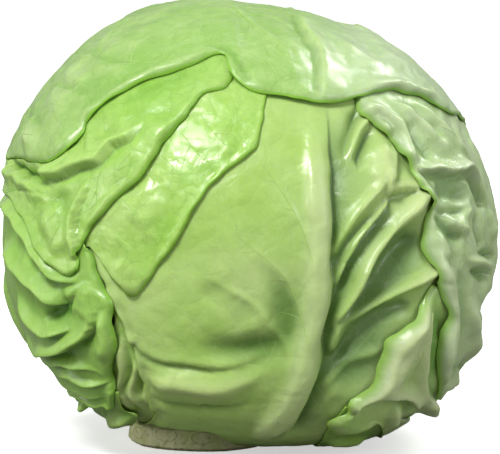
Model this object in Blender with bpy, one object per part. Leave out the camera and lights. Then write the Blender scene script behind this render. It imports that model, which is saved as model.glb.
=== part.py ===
"""Green cabbage head, standing on its cut stalk: one solid for each leaf.

Every leaf is a thin sheet laid over the head. Its outline is drawn on the head as four
border curves, its folds and ribs are raised by short strokes, and it rests on the leaves
under it. Metres, +Z up, the front of the head towards -Y, the floor at zero.
"""
import math

import bmesh
import bpy
import numpy as np
from mathutils import Vector
from mathutils.bvhtree import BVHTree

# Driving sizes
HEAD_WIDTH = 0.180
HEAD_DEPTH = 0.168
HEAD_MIDDLE = np.array([0.0, 0.0, 0.0775])
FORM_POWER = 2.15
LOW_FORM_POWER = 0.5
LEAF_THICKNESS = 0.0010
LEAF_GAP = 0.0008
DRAPE_STEPS = 3
TOP_UPS = 2
SMALL_GRID = 24
SMALL_ROUNDS = 250
FINE_ROUNDS = 60
EVEN_SHARE = 0.7
SMALLEST_STEP = 1e-9
FOLD_SOFTNESS = 0.0018
LAP_STEEPNESS = 0.0024
LAP_DIP = 0.6
LINE_STEPS = 48
INNER_HEAD_DEPTH = 0.0160
INNER_WRAPS = 5
INNER_WRAP_STEP = 0.0015
INNER_WRAP_TWIST = 0.6
UNDERSIDE_HEIGHT = 0.0035
FOOT_BULGE_X = 0.002
FOOT_BULGE_WIDTH = 0.015
FOOT_BULGE_DROP = 0.0060
FOOT_RISE = 0.0078
FOOT_RISE_SPAN = (-0.050, -0.036, -0.014, 0.000)
FLOOR_CLEARANCE = 0.0008

# The cut stalk
STALK_CENTRE_X = -0.017
STALK_RADIUS = 0.0280
STALK_SIDES = 40
STALK_PROFILE = [(0.0, 0.93), (0.0012, 1.0), (0.0075, 0.97), (0.0100, 0.80), (0.0140, 0.40)]
SCARS_ROUND_STALK = 5
SCAR_DEPTH = 0.03
FOOT_RING_RADIUS = 0.0297
FOOT_RING_HEIGHT = 0.0080
DIMPLE_DEPTH = 0.0130
DIMPLE_WIDTH = 0.0330

# The front view that the leaves are drawn on: 500 steps across the head's width
VIEW_STEP = HEAD_WIDTH / 500
VIEW_MIDDLE = (250, 226)
VIEW_RISE = math.radians(8)
VIEW_DISTANCE = 1.8

HEAD_OUTLINE = [
    (498, 235), (484, 168), (454, 112), (405, 59), (341, 25), (257, 5), (170, 5),
    (104, 31), (55, 78), (18, 132), (3, 200), (5, 280), (28, 338), (68, 388),
    (120, 428), (190, 448), (290, 450), (370, 438), (430, 404), (468, 355), (488, 290),
]


def unit(vectors):
    vectors = np.asarray(vectors, dtype=float)
    return vectors / np.linalg.norm(vectors, axis=-1, keepdims=True)


def around(turn, rise):
    """Direction from the head's middle: turn from the front to the right, and rise, in degrees."""
    turn, rise = math.radians(turn), math.radians(rise)
    level = math.cos(rise)
    return np.array([level * math.sin(turn), -level * math.cos(turn), math.sin(rise)])


def at_stalk(turn):
    """Direction to a point of the ring round the stalk where the leaves grow."""
    turn = math.radians(turn)
    point = np.array([
        STALK_CENTRE_X + FOOT_RING_RADIUS * math.sin(turn),
        -FOOT_RING_RADIUS * math.cos(turn),
        FOOT_RING_HEIGHT,
    ])
    return unit(point - HEAD_MIDDLE)


def outline_table():
    """The head's outline as angle and reach, for reading between its points."""
    points = (np.array(HEAD_OUTLINE, dtype=float) - VIEW_MIDDLE) * (VIEW_STEP, -VIEW_STEP)
    angles = np.arctan2(points[:, 1], points[:, 0])
    order = np.argsort(angles)
    reach = np.linalg.norm(points, axis=1)[order]
    angles = angles[order]
    return np.concatenate([angles - math.tau, angles, angles + math.tau]), np.tile(reach, 3)


OUTLINE_ANGLES, OUTLINE_REACH = outline_table()


def outline_reach(angles):
    """Reach of the outline at each angle, rounded off between its points."""
    spread = np.radians([-9, -4.5, 0, 4.5, 9])
    share = np.array([0.1, 0.24, 0.32, 0.24, 0.1])
    return sum(
        part * np.interp(angles + turn, OUTLINE_ANGLES, OUTLINE_REACH)
        for turn, part in zip(spread, share)
    )


def form_reach(directions):
    """Distance from the head's middle to its outer form, with the hollow round the stalk."""
    directions = np.asarray(directions, dtype=float)
    side = np.hypot(directions[..., 0], directions[..., 2])
    outline = outline_reach(np.arctan2(directions[..., 2], directions[..., 0]))
    depth = np.abs(directions[..., 1]) / (HEAD_DEPTH / 2)
    power = FORM_POWER + LOW_FORM_POWER * np.clip(-directions[..., 2] * 1.5, 0, 1)
    reach = ((side / outline) ** power + depth ** power) ** (-1 / power)
    points = directions * reach[..., None] + HEAD_MIDDLE
    from_stalk = np.hypot(points[..., 0] - STALK_CENTRE_X, points[..., 1])
    below = np.clip(-directions[..., 2] * 2, 0, 1)
    reach = reach - below * DIMPLE_DEPTH * np.exp(-(from_stalk / DIMPLE_WIDTH) ** 2)
    in_front = np.clip(-directions[..., 1], 0, 1)
    bulge = np.exp(-((points[..., 0] - FOOT_BULGE_X) / FOOT_BULGE_WIDTH) ** 2)
    drop = HEAD_MIDDLE[2] - UNDERSIDE_HEIGHT + FOOT_BULGE_DROP * in_front * bulge
    opens, full, closes, ends = FOOT_RISE_SPAN
    showing = smoothstep((points[..., 0] - opens) / (full - opens))
    showing = showing * (1 - smoothstep((points[..., 0] - closes) / (ends - closes)))
    drop = drop - FOOT_RISE * showing * smoothstep((in_front - 0.15) / 0.25)
    return np.minimum(reach, drop / np.clip(-directions[..., 2], 0.05, 1))


def seen(px, py):
    """Direction from the head's middle to what shows at a point of the front view."""
    back = np.array([0, math.cos(VIEW_RISE), -math.sin(VIEW_RISE)])
    up = np.array([0, math.sin(VIEW_RISE), math.cos(VIEW_RISE)])
    across = (px - VIEW_MIDDLE[0]) * VIEW_STEP
    rise = (VIEW_MIDDLE[1] - py) * VIEW_STEP
    target = np.array([across, 0, 0]) + rise * up
    eye = -VIEW_DISTANCE * back
    steps = np.linspace(-0.11, 0.02, 400)[:, None] / VIEW_DISTANCE
    points = target + (target - eye) * steps
    reach = np.linalg.norm(points, axis=1)
    outside = reach / form_reach(unit(points))
    hits = np.nonzero(outside <= 1)[0]
    index = hits[0] if len(hits) else np.argmin(outside)
    return unit(points[index])


def place(point):
    """A border or stroke point: a front view pair stays a pair, a direction stays itself."""
    return seen(*point) if len(point) == 2 else np.asarray(point)


def smooth_path(points, count, crowding=1.0):
    """Directions along a smooth curve through the points, even or crowded to its end."""
    knots = np.array([place(point) for point in points])
    knots = np.vstack([2 * knots[0] - knots[1], knots, 2 * knots[-1] - knots[-2]])
    pieces = []
    for a, b, c, d in zip(knots, knots[1:], knots[2:], knots[3:]):
        t = np.linspace(0, 1, 16, endpoint=False)[:, None]
        pieces.append(0.5 * (
            2 * b + (c - a) * t + (2 * a - 5 * b + 4 * c - d) * t ** 2
            + (3 * b - a - 3 * c + d) * t ** 3
        ))
    line = unit(np.vstack(pieces + [knots[-2:-1]]))
    gone = np.concatenate([[0], np.cumsum(np.linalg.norm(np.diff(line, axis=0), axis=1))])
    wanted = gone[-1] * np.linspace(0, 1, count) ** crowding
    return unit(np.stack([np.interp(wanted, gone, line[:, axis]) for axis in range(3)], 1))


def ruled_grid(outline, rows, columns):
    """Directions of a leaf's grid, ruled between its borders from the foot to the tip."""
    crowding = outline.get("crowding", 1.0)
    left = smooth_path(outline["left"], rows + 1, outline.get("left_crowding", crowding))
    right = smooth_path(outline["right"], rows + 1, crowding)
    rib = unit(left + right)
    if "rib" in outline:
        rib = smooth_path(outline["rib"], rows + 1, crowding)
    u = np.linspace(0, 1, columns + 1)[None, :, None]
    v = np.linspace(0, 1, rows + 1)[:, None, None] ** crowding
    grid = (
        left[:, None] * (2 * u - 1) * (u - 1)
        + rib[:, None] * 4 * u * (1 - u)
        + right[:, None] * u * (2 * u - 1)
    )
    grid = unit(grid)
    if "tip" in outline:
        grid = grid + v ** 3 * (smooth_path(outline["tip"], columns + 1) - grid[-1])[None]
    if "foot" in outline:
        grid = grid + (1 - v) ** 3 * (smooth_path(outline["foot"], columns + 1) - grid[0])[None]
    return unit(grid)


def even_out(grid, rounds):
    """Moves the inner points of a grid until no row crosses another."""
    for _ in range(rounds):
        over = (grid[1:-1, 2:] - grid[1:-1, :-2]) / 2
        up = (grid[2:, 1:-1] - grid[:-2, 1:-1]) / 2
        twist = (grid[2:, 2:] - grid[2:, :-2] - grid[:-2, 2:] + grid[:-2, :-2]) / 4
        a = (up * up).sum(-1, keepdims=True) + SMALLEST_STEP
        b = (over * up).sum(-1, keepdims=True)
        c = (over * over).sum(-1, keepdims=True) + SMALLEST_STEP
        moved = a * (grid[1:-1, 2:] + grid[1:-1, :-2]) + c * (grid[2:, 1:-1] + grid[:-2, 1:-1])
        moved = (moved - 2 * b * twist) / (2 * (a + c))
        grid[1:-1, 1:-1] = unit((1 - EVEN_SHARE) * grid[1:-1, 1:-1] + EVEN_SHARE * moved)
    return grid


def stretched(grid, count):
    """The grid's rows read at evenly spaced places between them."""
    position = np.linspace(0, len(grid) - 1, count)
    lower = np.minimum(position.astype(int), len(grid) - 2)
    part = (position - lower)[:, None, None]
    return grid[lower] * (1 - part) + grid[lower + 1] * part


def leaf_grid(outline, rows, columns):
    """The leaf's directions, evened out inside and exact along its borders."""
    small = even_out(ruled_grid(outline, SMALL_GRID, SMALL_GRID), SMALL_ROUNDS)
    wide = stretched(small.swapaxes(0, 1), columns + 1).swapaxes(0, 1)
    grid = ruled_grid(outline, rows, columns)
    grid[1:-1, 1:-1] = unit(stretched(wide, rows + 1))[1:-1, 1:-1]
    return even_out(grid, FINE_ROUNDS)


def stroke(kind, points, height, left, right=None, ends=(0.3, 0.3)):
    """A line on the leaf: its height and its widths to either side in millimetres."""
    right = left if right is None else right
    left = math.hypot(left / 1000, FOLD_SOFTNESS)
    right = math.hypot(right / 1000, FOLD_SOFTNESS)
    return kind, points, height / 1000, left, right, ends


def ridge(points, height, left, right=None, ends=(0.3, 0.3)):
    return stroke("ridge", points, height, left, right, ends)


def rib(points, height, left, right=None, ends=(0.05, 0.3)):
    return stroke("rib", points, height, left, right, ends)


def crease(points, depth, left, right=None, ends=(0.3, 0.3)):
    return stroke("crease", points, -depth, left, right, ends)


def lap(points, height, left, right=None, ends=(0.3, 0.3)):
    return stroke("lap", points, height, left, right, ends)


def profile(across, left, right, kind):
    """The stroke's section: positive distances lie to the right of its heading."""
    if kind == "lap":
        lower = np.exp(-(across / LAP_STEEPNESS) ** 2)
        dip = LAP_DIP * (np.exp(-(across / right) ** 2) - lower)
        return np.where(across > 0, lower - dip, np.exp(-(across / left) ** 2))
    power = {"ridge": 2, "rib": 4, "crease": 1.25}[kind]
    return np.exp(-np.abs(across / np.where(across > 0, right, left)) ** power)


def smoothstep(values):
    values = np.clip(values, 0, 1)
    return values * values * (3 - 2 * values)


def relief(directions, folds):
    """How far the folds raise the leaf at each direction."""
    flat = directions.reshape(-1, 3)
    spots = flat * form_reach(flat)[:, None]
    raised = np.zeros(len(flat))
    for kind, points, height, left, right, ends in folds:
        line = smooth_path(points, LINE_STEPS)
        line = line * form_reach(line)[:, None]
        along = unit(np.gradient(line, axis=0))
        side = np.cross(along, unit(line))
        nearest = ((spots[:, None] - line[None]) ** 2).sum(2).argmin(1)
        step = spots - line[nearest]
        across = (step * side[nearest]).sum(1)
        ahead = (step * along[nearest]).sum(1)
        length = np.linalg.norm(np.diff(line, axis=0), axis=1).sum()
        where = nearest / (LINE_STEPS - 1) + ahead / length
        taper = smoothstep(where / ends[0]) * smoothstep((1 - where) / ends[1])
        narrow = 0.5 + 0.5 * taper
        raised += height * taper * profile(across / narrow, left, right, kind)
    return raised.reshape(directions.shape[:-1])


def veins_beside_rib(turn, rises, reach, height=1.0, width=3.0):
    """Pairs of side veins that leave a rib on the hidden sides and climb outwards."""
    veins = []
    for rise in rises:
        for side in (-1, 1):
            veins.append(ridge([
                around(turn + 3 * side, rise),
                around(turn + 0.5 * reach * side, rise + 12),
                around(turn + reach * side, rise + 32),
            ], height, width))
    return veins


def neighbourhood(values, combine):
    """Each grid value combined with the eight round it."""
    padded = np.pad(values, 1, mode="edge")
    rows, columns = values.shape
    return combine([
        padded[i:i + rows, j:j + columns] for i in range(3) for j in range(3)
    ], axis=0)


def reach_beneath(directions, tree):
    """Reach of the outermost leaf already laid in each direction."""
    middle = Vector(HEAD_MIDDLE)
    reach = np.zeros(directions.shape[:2])
    for index in np.ndindex(reach.shape):
        ray = Vector(directions[index])
        hit = tree.ray_cast(middle + ray * HEAD_WIDTH, -ray)
        if hit[0] is not None:
            reach[index] = (hit[0] - middle).length
    return reach


def refined(grid, shape):
    """The same grid with as many rows and columns as the shape asks for."""
    wide = stretched(grid.swapaxes(0, 1), shape[1]).swapaxes(0, 1)
    return stretched(wide, shape[0])


def drape(directions, tree, wanted):
    """Lift the wanted reach where the leaf would cut into what lies beneath it.

    The directions are finer than the leaf's own grid, and each point of the leaf clears
    whatever lies beneath the cells round it. Then the flat cells are tried against it too,
    because a wide cell sags between its corners.
    """
    form = form_reach(directions)
    lowest = reach_beneath(directions, tree) + LEAF_GAP + LEAF_THICKNESS
    above_form = wanted - form[::DRAPE_STEPS, ::DRAPE_STEPS]
    lift = np.clip(highest_near(lowest - form) - above_form, 0, None)
    for _ in range(2):
        lift = np.maximum(lift, neighbourhood(lift, np.mean))
    reach = wanted + lift
    for _ in range(TOP_UPS):
        corners = directions[::DRAPE_STEPS, ::DRAPE_STEPS] * reach[..., None]
        flat = np.linalg.norm(refined(corners, directions.shape), axis=-1)
        reach = reach + np.clip(highest_near(lowest - flat), 0, None)
    return reach


def highest_near(values):
    """The highest of the values round each point of the leaf's own grid."""
    for _ in range(DRAPE_STEPS):
        values = neighbourhood(values, np.max)
    return values[::DRAPE_STEPS, ::DRAPE_STEPS]


def shell_faces(rows, columns):
    """Triangles of a thin closed sheet: outer face, inner face alike, and the four margins."""
    across = columns + 1
    layer = (rows + 1) * across
    outer = []
    for i in range(rows):
        for j in range(columns):
            a = i * across + j
            outer += [(a, a + 1, a + across + 1), (a, a + across + 1, a + across)]
    inner = [(c + layer, b + layer, a + layer) for a, b, c in outer]
    rim = list(range(across))
    rim += [i * across + columns for i in range(1, rows + 1)]
    rim += [rows * across + j for j in range(columns - 1, -1, -1)]
    rim += [i * across for i in range(rows - 1, 0, -1)]
    margin = []
    for a, b in zip(rim, rim[1:] + rim[:1]):
        margin += [(b, a, a + layer), (b, a + layer, b + layer)]
    return outer + inner + margin


def make_object(name, vertices, faces, material):
    """A named object with its faces pointing out."""
    mesh = bpy.data.meshes.new(name)
    mesh.from_pydata([tuple(vertex) for vertex in vertices], [], faces)
    shape = bmesh.new()
    shape.from_mesh(mesh)
    if shape.calc_volume(signed=True) < 0:
        bmesh.ops.reverse_faces(shape, faces=shape.faces)
    shape.to_mesh(mesh)
    shape.free()
    mesh.materials.append(material)
    mesh.shade_smooth()
    piece = bpy.data.objects.new(name, mesh)
    bpy.context.scene.collection.objects.link(piece)
    return piece


def finish(name, hex_colour, roughness):
    """A Principled material in the leaf's own colour."""
    material = bpy.data.materials.new(name)
    material.use_nodes = True
    shader = material.node_tree.nodes["Principled BSDF"]
    parts = [int(hex_colour[i:i + 2], 16) / 255 for i in (1, 3, 5)]
    colour = [c / 12.92 if c <= 0.04045 else ((c + 0.055) / 1.055) ** 2.4 for c in parts]
    shader.inputs["Base Color"].default_value = (*colour, 1)
    shader.inputs["Roughness"].default_value = roughness
    shader.inputs["Metallic"].default_value = 0
    return material


def lay_leaf(name, leaf, laid):
    """Build one leaf over the pieces already laid, and add it to them."""
    rows, columns = leaf["grid"]
    fine = leaf_grid(leaf["outline"], rows * DRAPE_STEPS, columns * DRAPE_STEPS)
    directions = fine[::DRAPE_STEPS, ::DRAPE_STEPS]
    raised = relief(directions, leaf["folds"]) * leaf.get("depth", 1.0)
    wanted = form_reach(directions) + leaf["level"] / 1000 + raised
    reach = drape(fine, laid_tree(laid), wanted)
    clear = FLOOR_CLEARANCE + leaf.get("clear", 0) / 1000
    floor = (HEAD_MIDDLE[2] - clear) / np.clip(-directions[..., 2], 0.05, 1)
    reach = np.minimum(reach, floor)
    outer = (directions * reach[..., None] + HEAD_MIDDLE).reshape(-1, 3)
    inner = (directions * (reach - LEAF_THICKNESS)[..., None] + HEAD_MIDDLE).reshape(-1, 3)
    material = finish(name, leaf["colour"], leaf["roughness"])
    piece = make_object(name, np.vstack([outer, inner]), shell_faces(rows, columns), material)
    laid.append(piece)


def laid_tree(laid):
    """One search tree over every piece already laid."""
    vertices = []
    faces = []
    for piece in laid:
        start = len(vertices)
        vertices += [vertex.co.copy() for vertex in piece.data.vertices]
        faces += [[start + index for index in face.vertices] for face in piece.data.polygons]
    return BVHTree.FromPolygons(vertices, faces)


def stalk():
    """The cut stump: a flat foot, scarred sides and a core that runs up into the head."""
    vertices = []
    for height, share in STALK_PROFILE:
        for step in range(STALK_SIDES):
            turn = math.tau * step / STALK_SIDES
            scar = 1 - SCAR_DEPTH * abs(math.sin(SCARS_ROUND_STALK * turn / 2)) * (height > 0)
            radius = STALK_RADIUS * share * scar
            vertices.append((
                STALK_CENTRE_X + radius * math.cos(turn), radius * math.sin(turn), height,
            ))
    faces = []
    for ring in range(len(STALK_PROFILE) - 1):
        for step in range(STALK_SIDES):
            a = ring * STALK_SIDES + step
            b = ring * STALK_SIDES + (step + 1) % STALK_SIDES
            faces.append((a, b, b + STALK_SIDES, a + STALK_SIDES))
    faces.append(tuple(range(STALK_SIDES - 1, -1, -1)))
    top = (len(STALK_PROFILE) - 1) * STALK_SIDES
    faces.append(tuple(range(top, top + STALK_SIDES)))
    return make_object("stalk", vertices, faces, finish("stalk", "#BEC38C", 0.6))


def inner_head():
    """The dense ball of folded inner leaves, with the steps of the outermost wraps."""
    ball = bmesh.new()
    bmesh.ops.create_icosphere(ball, subdivisions=4, radius=1)
    directions = unit([vertex.co for vertex in ball.verts])
    turn = np.arctan2(directions[:, 1], directions[:, 0])
    climb = directions[:, 2] * INNER_WRAP_TWIST
    wrap = ((turn / math.tau * INNER_WRAPS + climb) % 1) * INNER_WRAP_STEP
    level = np.clip(1.2 - np.abs(directions[:, 2]) * 1.2, 0, 1)
    reach = form_reach(directions) - INNER_HEAD_DEPTH - wrap * level
    faces = [[vertex.index for vertex in face.verts] for face in ball.faces]
    ball.free()
    vertices = directions * reach[:, None] + HEAD_MIDDLE
    return make_object("inner_head", vertices, faces, finish("inner_head", "#D7E6B4", 0.45))


def leaf_left_inner():
    outline = {
        "foot": [at_stalk(turn) for turn in (-98, -72, -46, -20)],
        "left": [at_stalk(-98), (118, 418), (106, 398), (105, 372), (106, 340), (104, 300)],
        "right": [at_stalk(-20), (192, 424), (185, 400), (165, 360), (128, 305)],
    }
    folds = [
        ridge([(128, 424), (120, 408), (116, 392), (115, 374), (117, 352), (113, 330)], 3.0, 2.4),
        crease([(124, 410), (119, 392), (122, 372), (121, 345)], 2.4, 1.6),
        ridge([(140, 424), (132, 408), (127, 392), (127, 374), (123, 350)], 2.6, 2.2),
        crease([(137, 408), (136, 392), (138, 372)], 2.2, 1.4),
        ridge([(147, 420), (142, 402), (138, 386)], 1.6, 1.6),
    ]
    return {"outline": outline, "folds": folds, "clear": 4.0, "level": -5.0,
            "grid": (14, 8), "colour": "#BEDC91", "roughness": 0.4}


def leaf_front():
    outline = {
        "foot": [at_stalk(turn) for turn in (-62, -38, -15, 8, 30, 56, 84)],
        "left": [at_stalk(-62), (149, 425), (146, 412), (142, 396), (135, 378), (131, 360),
                 (120, 340), (112, 318), (94, 288), (76, 256), (84, 205), (120, 140), (170, 85),
                 (238, 48)],
        "rib": [at_stalk(30), (262, 446), (290, 414), (307, 376), (316, 335), (321, 300),
                (323, 230), (319, 150), (316, 105), (312, 55)],
        "right": [at_stalk(84), around(80, -60), around(86, -48), around(88, -36), (466, 325),
                  (464, 250), (447, 175), (415, 105), (372, 55)],
    }
    folds = [
        rib([(250, 448), (268, 436), (286, 416), (297, 396), (305, 372), (311, 350), (316, 325),
             (320, 290), (321, 250), (320, 200), (317, 150), (315, 100)], 3.2, 5.2, 5.2,
            (0.10, 0.3)),
        crease([(284, 446), (306, 422), (319, 396), (327, 368), (332, 336), (337, 290),
                (338, 240), (337, 190), (335, 130), (331, 100)], 4.6, 1.0, 6, (0.1, 0.2)),
        crease([(255, 430), (276, 410), (291, 386), (299, 360), (305, 330), (309, 290),
                (310, 240), (308, 190), (305, 140)], 1.4, 2.6, 1.2),
        ridge([(340, 405), (365, 340), (388, 285), (407, 235), (410, 195)], -4.8, 12, 12,
              (0.2, 0.2)),
        ridge([(337, 262), (350, 236), (362, 214), (376, 196), (394, 176)], 2.4, 2.0, 2.0,
              (0.1, 0.2)),
        crease([(339, 276), (352, 250), (366, 228), (380, 210), (394, 192)], 3.2, 1.4, 1.4,
               (0.2, 0.1)),
        lap([(335, 300), (346, 270), (360, 246), (372, 227), (384, 209), (393, 195),
             (398, 180)], 3.2, 2.2, 4.0, (0.15, 0.25)),
        ridge([(336, 346), (348, 320), (358, 296), (370, 272), (386, 248), (406, 220),
               (428, 190)], 5.6, 2.6, 3.6, (0.15, 0.05)),
        ridge([(344, 346), (360, 316), (380, 288), (404, 260), (428, 232)], -3.0, 2.6, 2.6,
              (0.15, 0.1)),
        ridge([(322, 372), (340, 348), (358, 326), (380, 308), (408, 290), (442, 270)],
              4.4, 1.8, 2.8, (0.15, 0.05)),
        ridge([(336, 374), (362, 348), (390, 326), (420, 306)], -2.6, 2.2, 2.2, (0.2, 0.1)),
        rib([(446, 350), (456, 290), (458, 230), (440, 170), (410, 112)], -4.0, 5.0),
        ridge([(318, 404), (331, 391), (345, 378), (358, 367), (380, 356), (396, 344)], 2.0, 2.4),
        crease([(362, 96), (359, 114), (354, 132), (345, 154)], 3.6, 2.4),
        ridge([(377, 110), (366, 122), (357, 137), (350, 156)], 2.4, 2.0),
        crease([(379, 120), (371, 136), (364, 152), (362, 168)], 3.4, 1.9),
        ridge([(385, 130), (389, 150), (387, 170), (378, 190)], 2.8, 3.4, 4.5),
        lap([(391, 188), (397, 172), (400, 156), (397, 138)], 1.8, 2.6, 2.4),
        lap([(388, 190), (404, 189), (424, 187)], 2.4, 5.0, 4.0, (0.1, 0.05)),
        ridge([(262, 250), (274, 276), (285, 304), (288, 330), (276, 350), (246, 356),
               (210, 350), (176, 342)], -3.2, 6.5, 6.5, (0.35, 0.4)),
        ridge([(196, 282), (228, 304), (258, 330)], -0.9, 5),
        ridge([(176, 342), (210, 350), (250, 352), (290, 340)], -1.6, 4.6, 3.4, (0.5, 0.3)),
        ridge([(132, 346), (160, 360), (205, 367), (240, 366), (276, 356)], 1.2, 2.6, 1.5),
        crease([(127, 346), (137, 357), (152, 366), (170, 371), (190, 374), (212, 376),
                (246, 376)], 2.2, 1.5, 1.4, (0.05, 0.6)),
        ridge([(142, 378), (165, 385), (205, 390), (240, 388), (272, 376)], 2.2, 5.2, 5.2,
              (0.3, 0.6)),
        crease([(146, 396), (165, 402), (187, 404), (219, 405), (243, 402), (262, 393)],
               1.9, 1.6, 1.4, (0.2, 0.6)),
        crease([(160, 408), (181, 416), (203, 420), (232, 417), (250, 408)], 1.3, 1.4),
    ]
    return {"outline": outline, "folds": folds, "level": -2.2,
            "grid": (30, 26), "colour": "#C8E1A0", "roughness": 0.38}


def leaf_left_flap():
    outline = {
        "left_crowding": 0.7,
        "left": [at_stalk(-84), (62, 380), (40, 320), (40, 240), (80, 150), (150, 80), (200, 48)],
        "right": [at_stalk(-64), (96, 400), (72, 330), (75, 290), (78, 262), (82, 245), (90, 251),
                  (98, 263), (110, 280), (130, 298), (145, 281), (160, 262), (181, 232), (195, 203),
                  (221, 172), (256, 145), (262, 122), (267, 92), (268, 62)],
    }
    folds = [
        ridge([(100, 262), (118, 284), (130, 296), (146, 279), (160, 260), (180, 231),
               (194, 203), (220, 171), (254, 144), (260, 122), (265, 92)], 0.9, 2.6),
        ridge([(112, 262), (130, 288)], 1.2, 5),
        ridge([(121, 197), (135, 213), (146, 228), (158, 244)], 0.9, 2.4),
        ridge([(138, 176), (146, 200), (156, 226)], 1.2, 5),
        ridge([(210, 122), (222, 138), (236, 152)], 1.0, 4.5),
        crease([(196, 150), (206, 164), (212, 176)], 0.8, 3),
        rib([(66, 380), (52, 300), (52, 240), (84, 172), (140, 100)], -4.5, 9.5),
    ]
    return {"outline": outline, "folds": folds, "level": -1.4,
            "grid": (26, 10), "colour": "#ACD773", "roughness": 0.33}


def leaf_base_left():
    outline = {
        "left": [at_stalk(-112), around(-84, -47), (88, 412), (96, 390)],
        "right": [at_stalk(-72), (134, 424), (122, 414), (116, 394)],
    }
    folds = [
        ridge([(130, 420), (116, 422), (104, 420)], 4.6, 3.0, 3.0, (0.3, 0.3)),
    ]
    return {"outline": outline, "folds": folds, "clear": 1.6, "level": -2.4,
            "grid": (8, 5), "colour": "#6E964B", "roughness": 0.42}


def leaf_left_lower():
    outline = {
        "foot": [at_stalk(-154), at_stalk(-124), around(-96, -52), (62, 392), (78, 404),
                 (92, 406), (102, 405), (113, 409)],
        "tip": [around(-150, 25), around(-105, 18), (20, 180), (60, 215), (84, 256)],
        "left": [at_stalk(-154), around(-154, -40), around(-152, -5), around(-150, 25)],
        "right": [(113, 409), (113, 392), (107, 374), (114, 347), (109, 326), (108, 302),
                  (98, 286), (84, 256)],
    }
    folds = [
        lap([(2, 196), (12, 212), (22, 228), (32, 244), (41, 258), (48, 271), (57, 281),
             (66, 284), (75, 281), (82, 270)], 3.4, 3.8, 3.0),
        lap([(2, 236), (12, 256), (22, 272), (32, 283), (43, 293), (54, 301), (64, 302),
             (74, 293), (82, 280)], 3.2, 3.4, 2.6),
        crease([(42, 317), (53, 311), (62, 304), (72, 296)], 5.0, 2.6),
        lap([(14, 290), (22, 307), (31, 321), (40, 329), (50, 334), (60, 334), (70, 327)],
            3.0, 3.2, 2.4),
        lap([(16, 322), (24, 338), (38, 350), (52, 352), (67, 349), (77, 344),
             (84, 336), (88, 326), (92, 315), (98, 306), (106, 300)], 3.4, 3.6, 2.8,
            (0.45, 0.3)),
        ridge([(90, 280), (87, 294), (84, 308), (78, 320)], 1.4, 3.0),
        ridge([(106, 306), (103, 324), (107, 344), (100, 364)], 2.4, 3.0, 3.4),
        lap([(34, 354), (46, 361), (60, 363), (77, 364), (90, 368), (102, 376)], 2.2, 2.0, 1.6,
            (0.5, 0.3)),
        lap([(46, 366), (64, 373), (76, 378), (86, 383), (96, 384), (108, 379)], 2.2, 2.0, 1.6,
            (0.5, 0.3)),
        lap([(50, 374), (66, 384), (82, 391), (96, 396), (110, 399)], 1.8, 1.8, 1.4, (0.5, 0.2)),
        lap([(62, 386), (76, 393), (92, 401), (112, 408)], 2.0, 1.8, 1.6, (0.5, 0.05)),
        ridge([(84, 400), (85, 418)], 3.6, 2.4),
        ridge([(20, 250), (30, 266), (44, 280)], 1.2, 3.0),
        ridge([around(-95, -8), around(-92, -20), around(-88, -34)], 2.6, 5),
        ridge([around(-108, -2), around(-106, -18), around(-100, -34)], -2.2, 5),
        ridge([around(-120, 0), around(-118, -20), around(-112, -38)], 2.6, 5),
    ]
    folds += veins_beside_rib(-134, (-30, -8), 16)
    return {"outline": outline, "folds": folds, "clear": 5.0, "depth": 1.3, "level": -0.3,
            "grid": (26, 20), "colour": "#96C85F", "roughness": 0.36}


def leaf_left():
    outline = {
        "foot": [at_stalk(-168), at_stalk(-148), around(-140, -38), around(-128, -8),
                 around(-108, 6), (6, 192), (24, 213), (43, 251), (67, 274), (78, 268)],
        "left": [at_stalk(-168), around(-164, -30), around(-165, 10), around(-165, 58)],
        "right": [(78, 268), (81, 245), (90, 227), (114, 200), (144, 171), (162, 144),
                  (184, 115), (203, 91), (226, 84), (234, 62), (232, 38)],
    }
    folds = [
        ridge([(77, 262), (80, 243), (89, 225), (113, 198), (143, 169), (161, 142), (183, 113),
               (202, 90), (224, 83)], 0.9, 2.4),
        crease([(12, 161), (25, 169), (36, 176), (43, 181), (56, 194)], 4.0, 1.2, 1.8,
               (0.1, 0.5)),
        ridge([(6, 172), (22, 180), (38, 192), (52, 212)], 2.0, 2.6),
        lap([(77, 258), (75, 240), (76, 225), (79, 208), (84, 190), (91, 170)], 2.2, 3.4, 2.0,
            (0.05, 0.5)),
        ridge([(46, 204), (54, 228), (62, 256)], 2.4, 5),
        crease([(58, 186), (62, 206), (66, 230)], 1.2, 2.6),
        ridge([(100, 186), (125, 162), (150, 136), (174, 108)], 1.4, 4.5),
        crease([(222, 60), (192, 71), (150, 86), (112, 106)], 0.9, 3),
        lap([(154, 66), (149, 84), (148, 100), (148, 122)], 1.4, 9.0, 1.6, (0.2, 0.2)),
        rib([(0, 138), (50, 140), (90, 130), (122, 114), (147, 96)], -1.0, 8, 8, (0.02, 0.03)),
    ]
    folds += veins_beside_rib(-135, (-20, 8, 36), 22)
    return {"outline": outline, "folds": folds, "clear": 3.4, "depth": 1.25, "level": 0.3,
            "grid": (21, 21), "colour": "#A5D269", "roughness": 0.33}


def leaf_base_right():
    outline = {
        "left": [at_stalk(76), (322, 447), (328, 437), (336, 425), (348, 410)],
        "right": [at_stalk(112), (364, 449), (380, 441), (390, 426), (402, 408)],
    }
    folds = [
        ridge([(322, 444), (348, 444), (374, 438)], 2.6, 3.4),
    ]
    return {"outline": outline, "folds": folds, "clear": 1.4, "level": -2.2,
            "grid": (7, 5), "colour": "#64873C", "roughness": 0.42}


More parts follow.
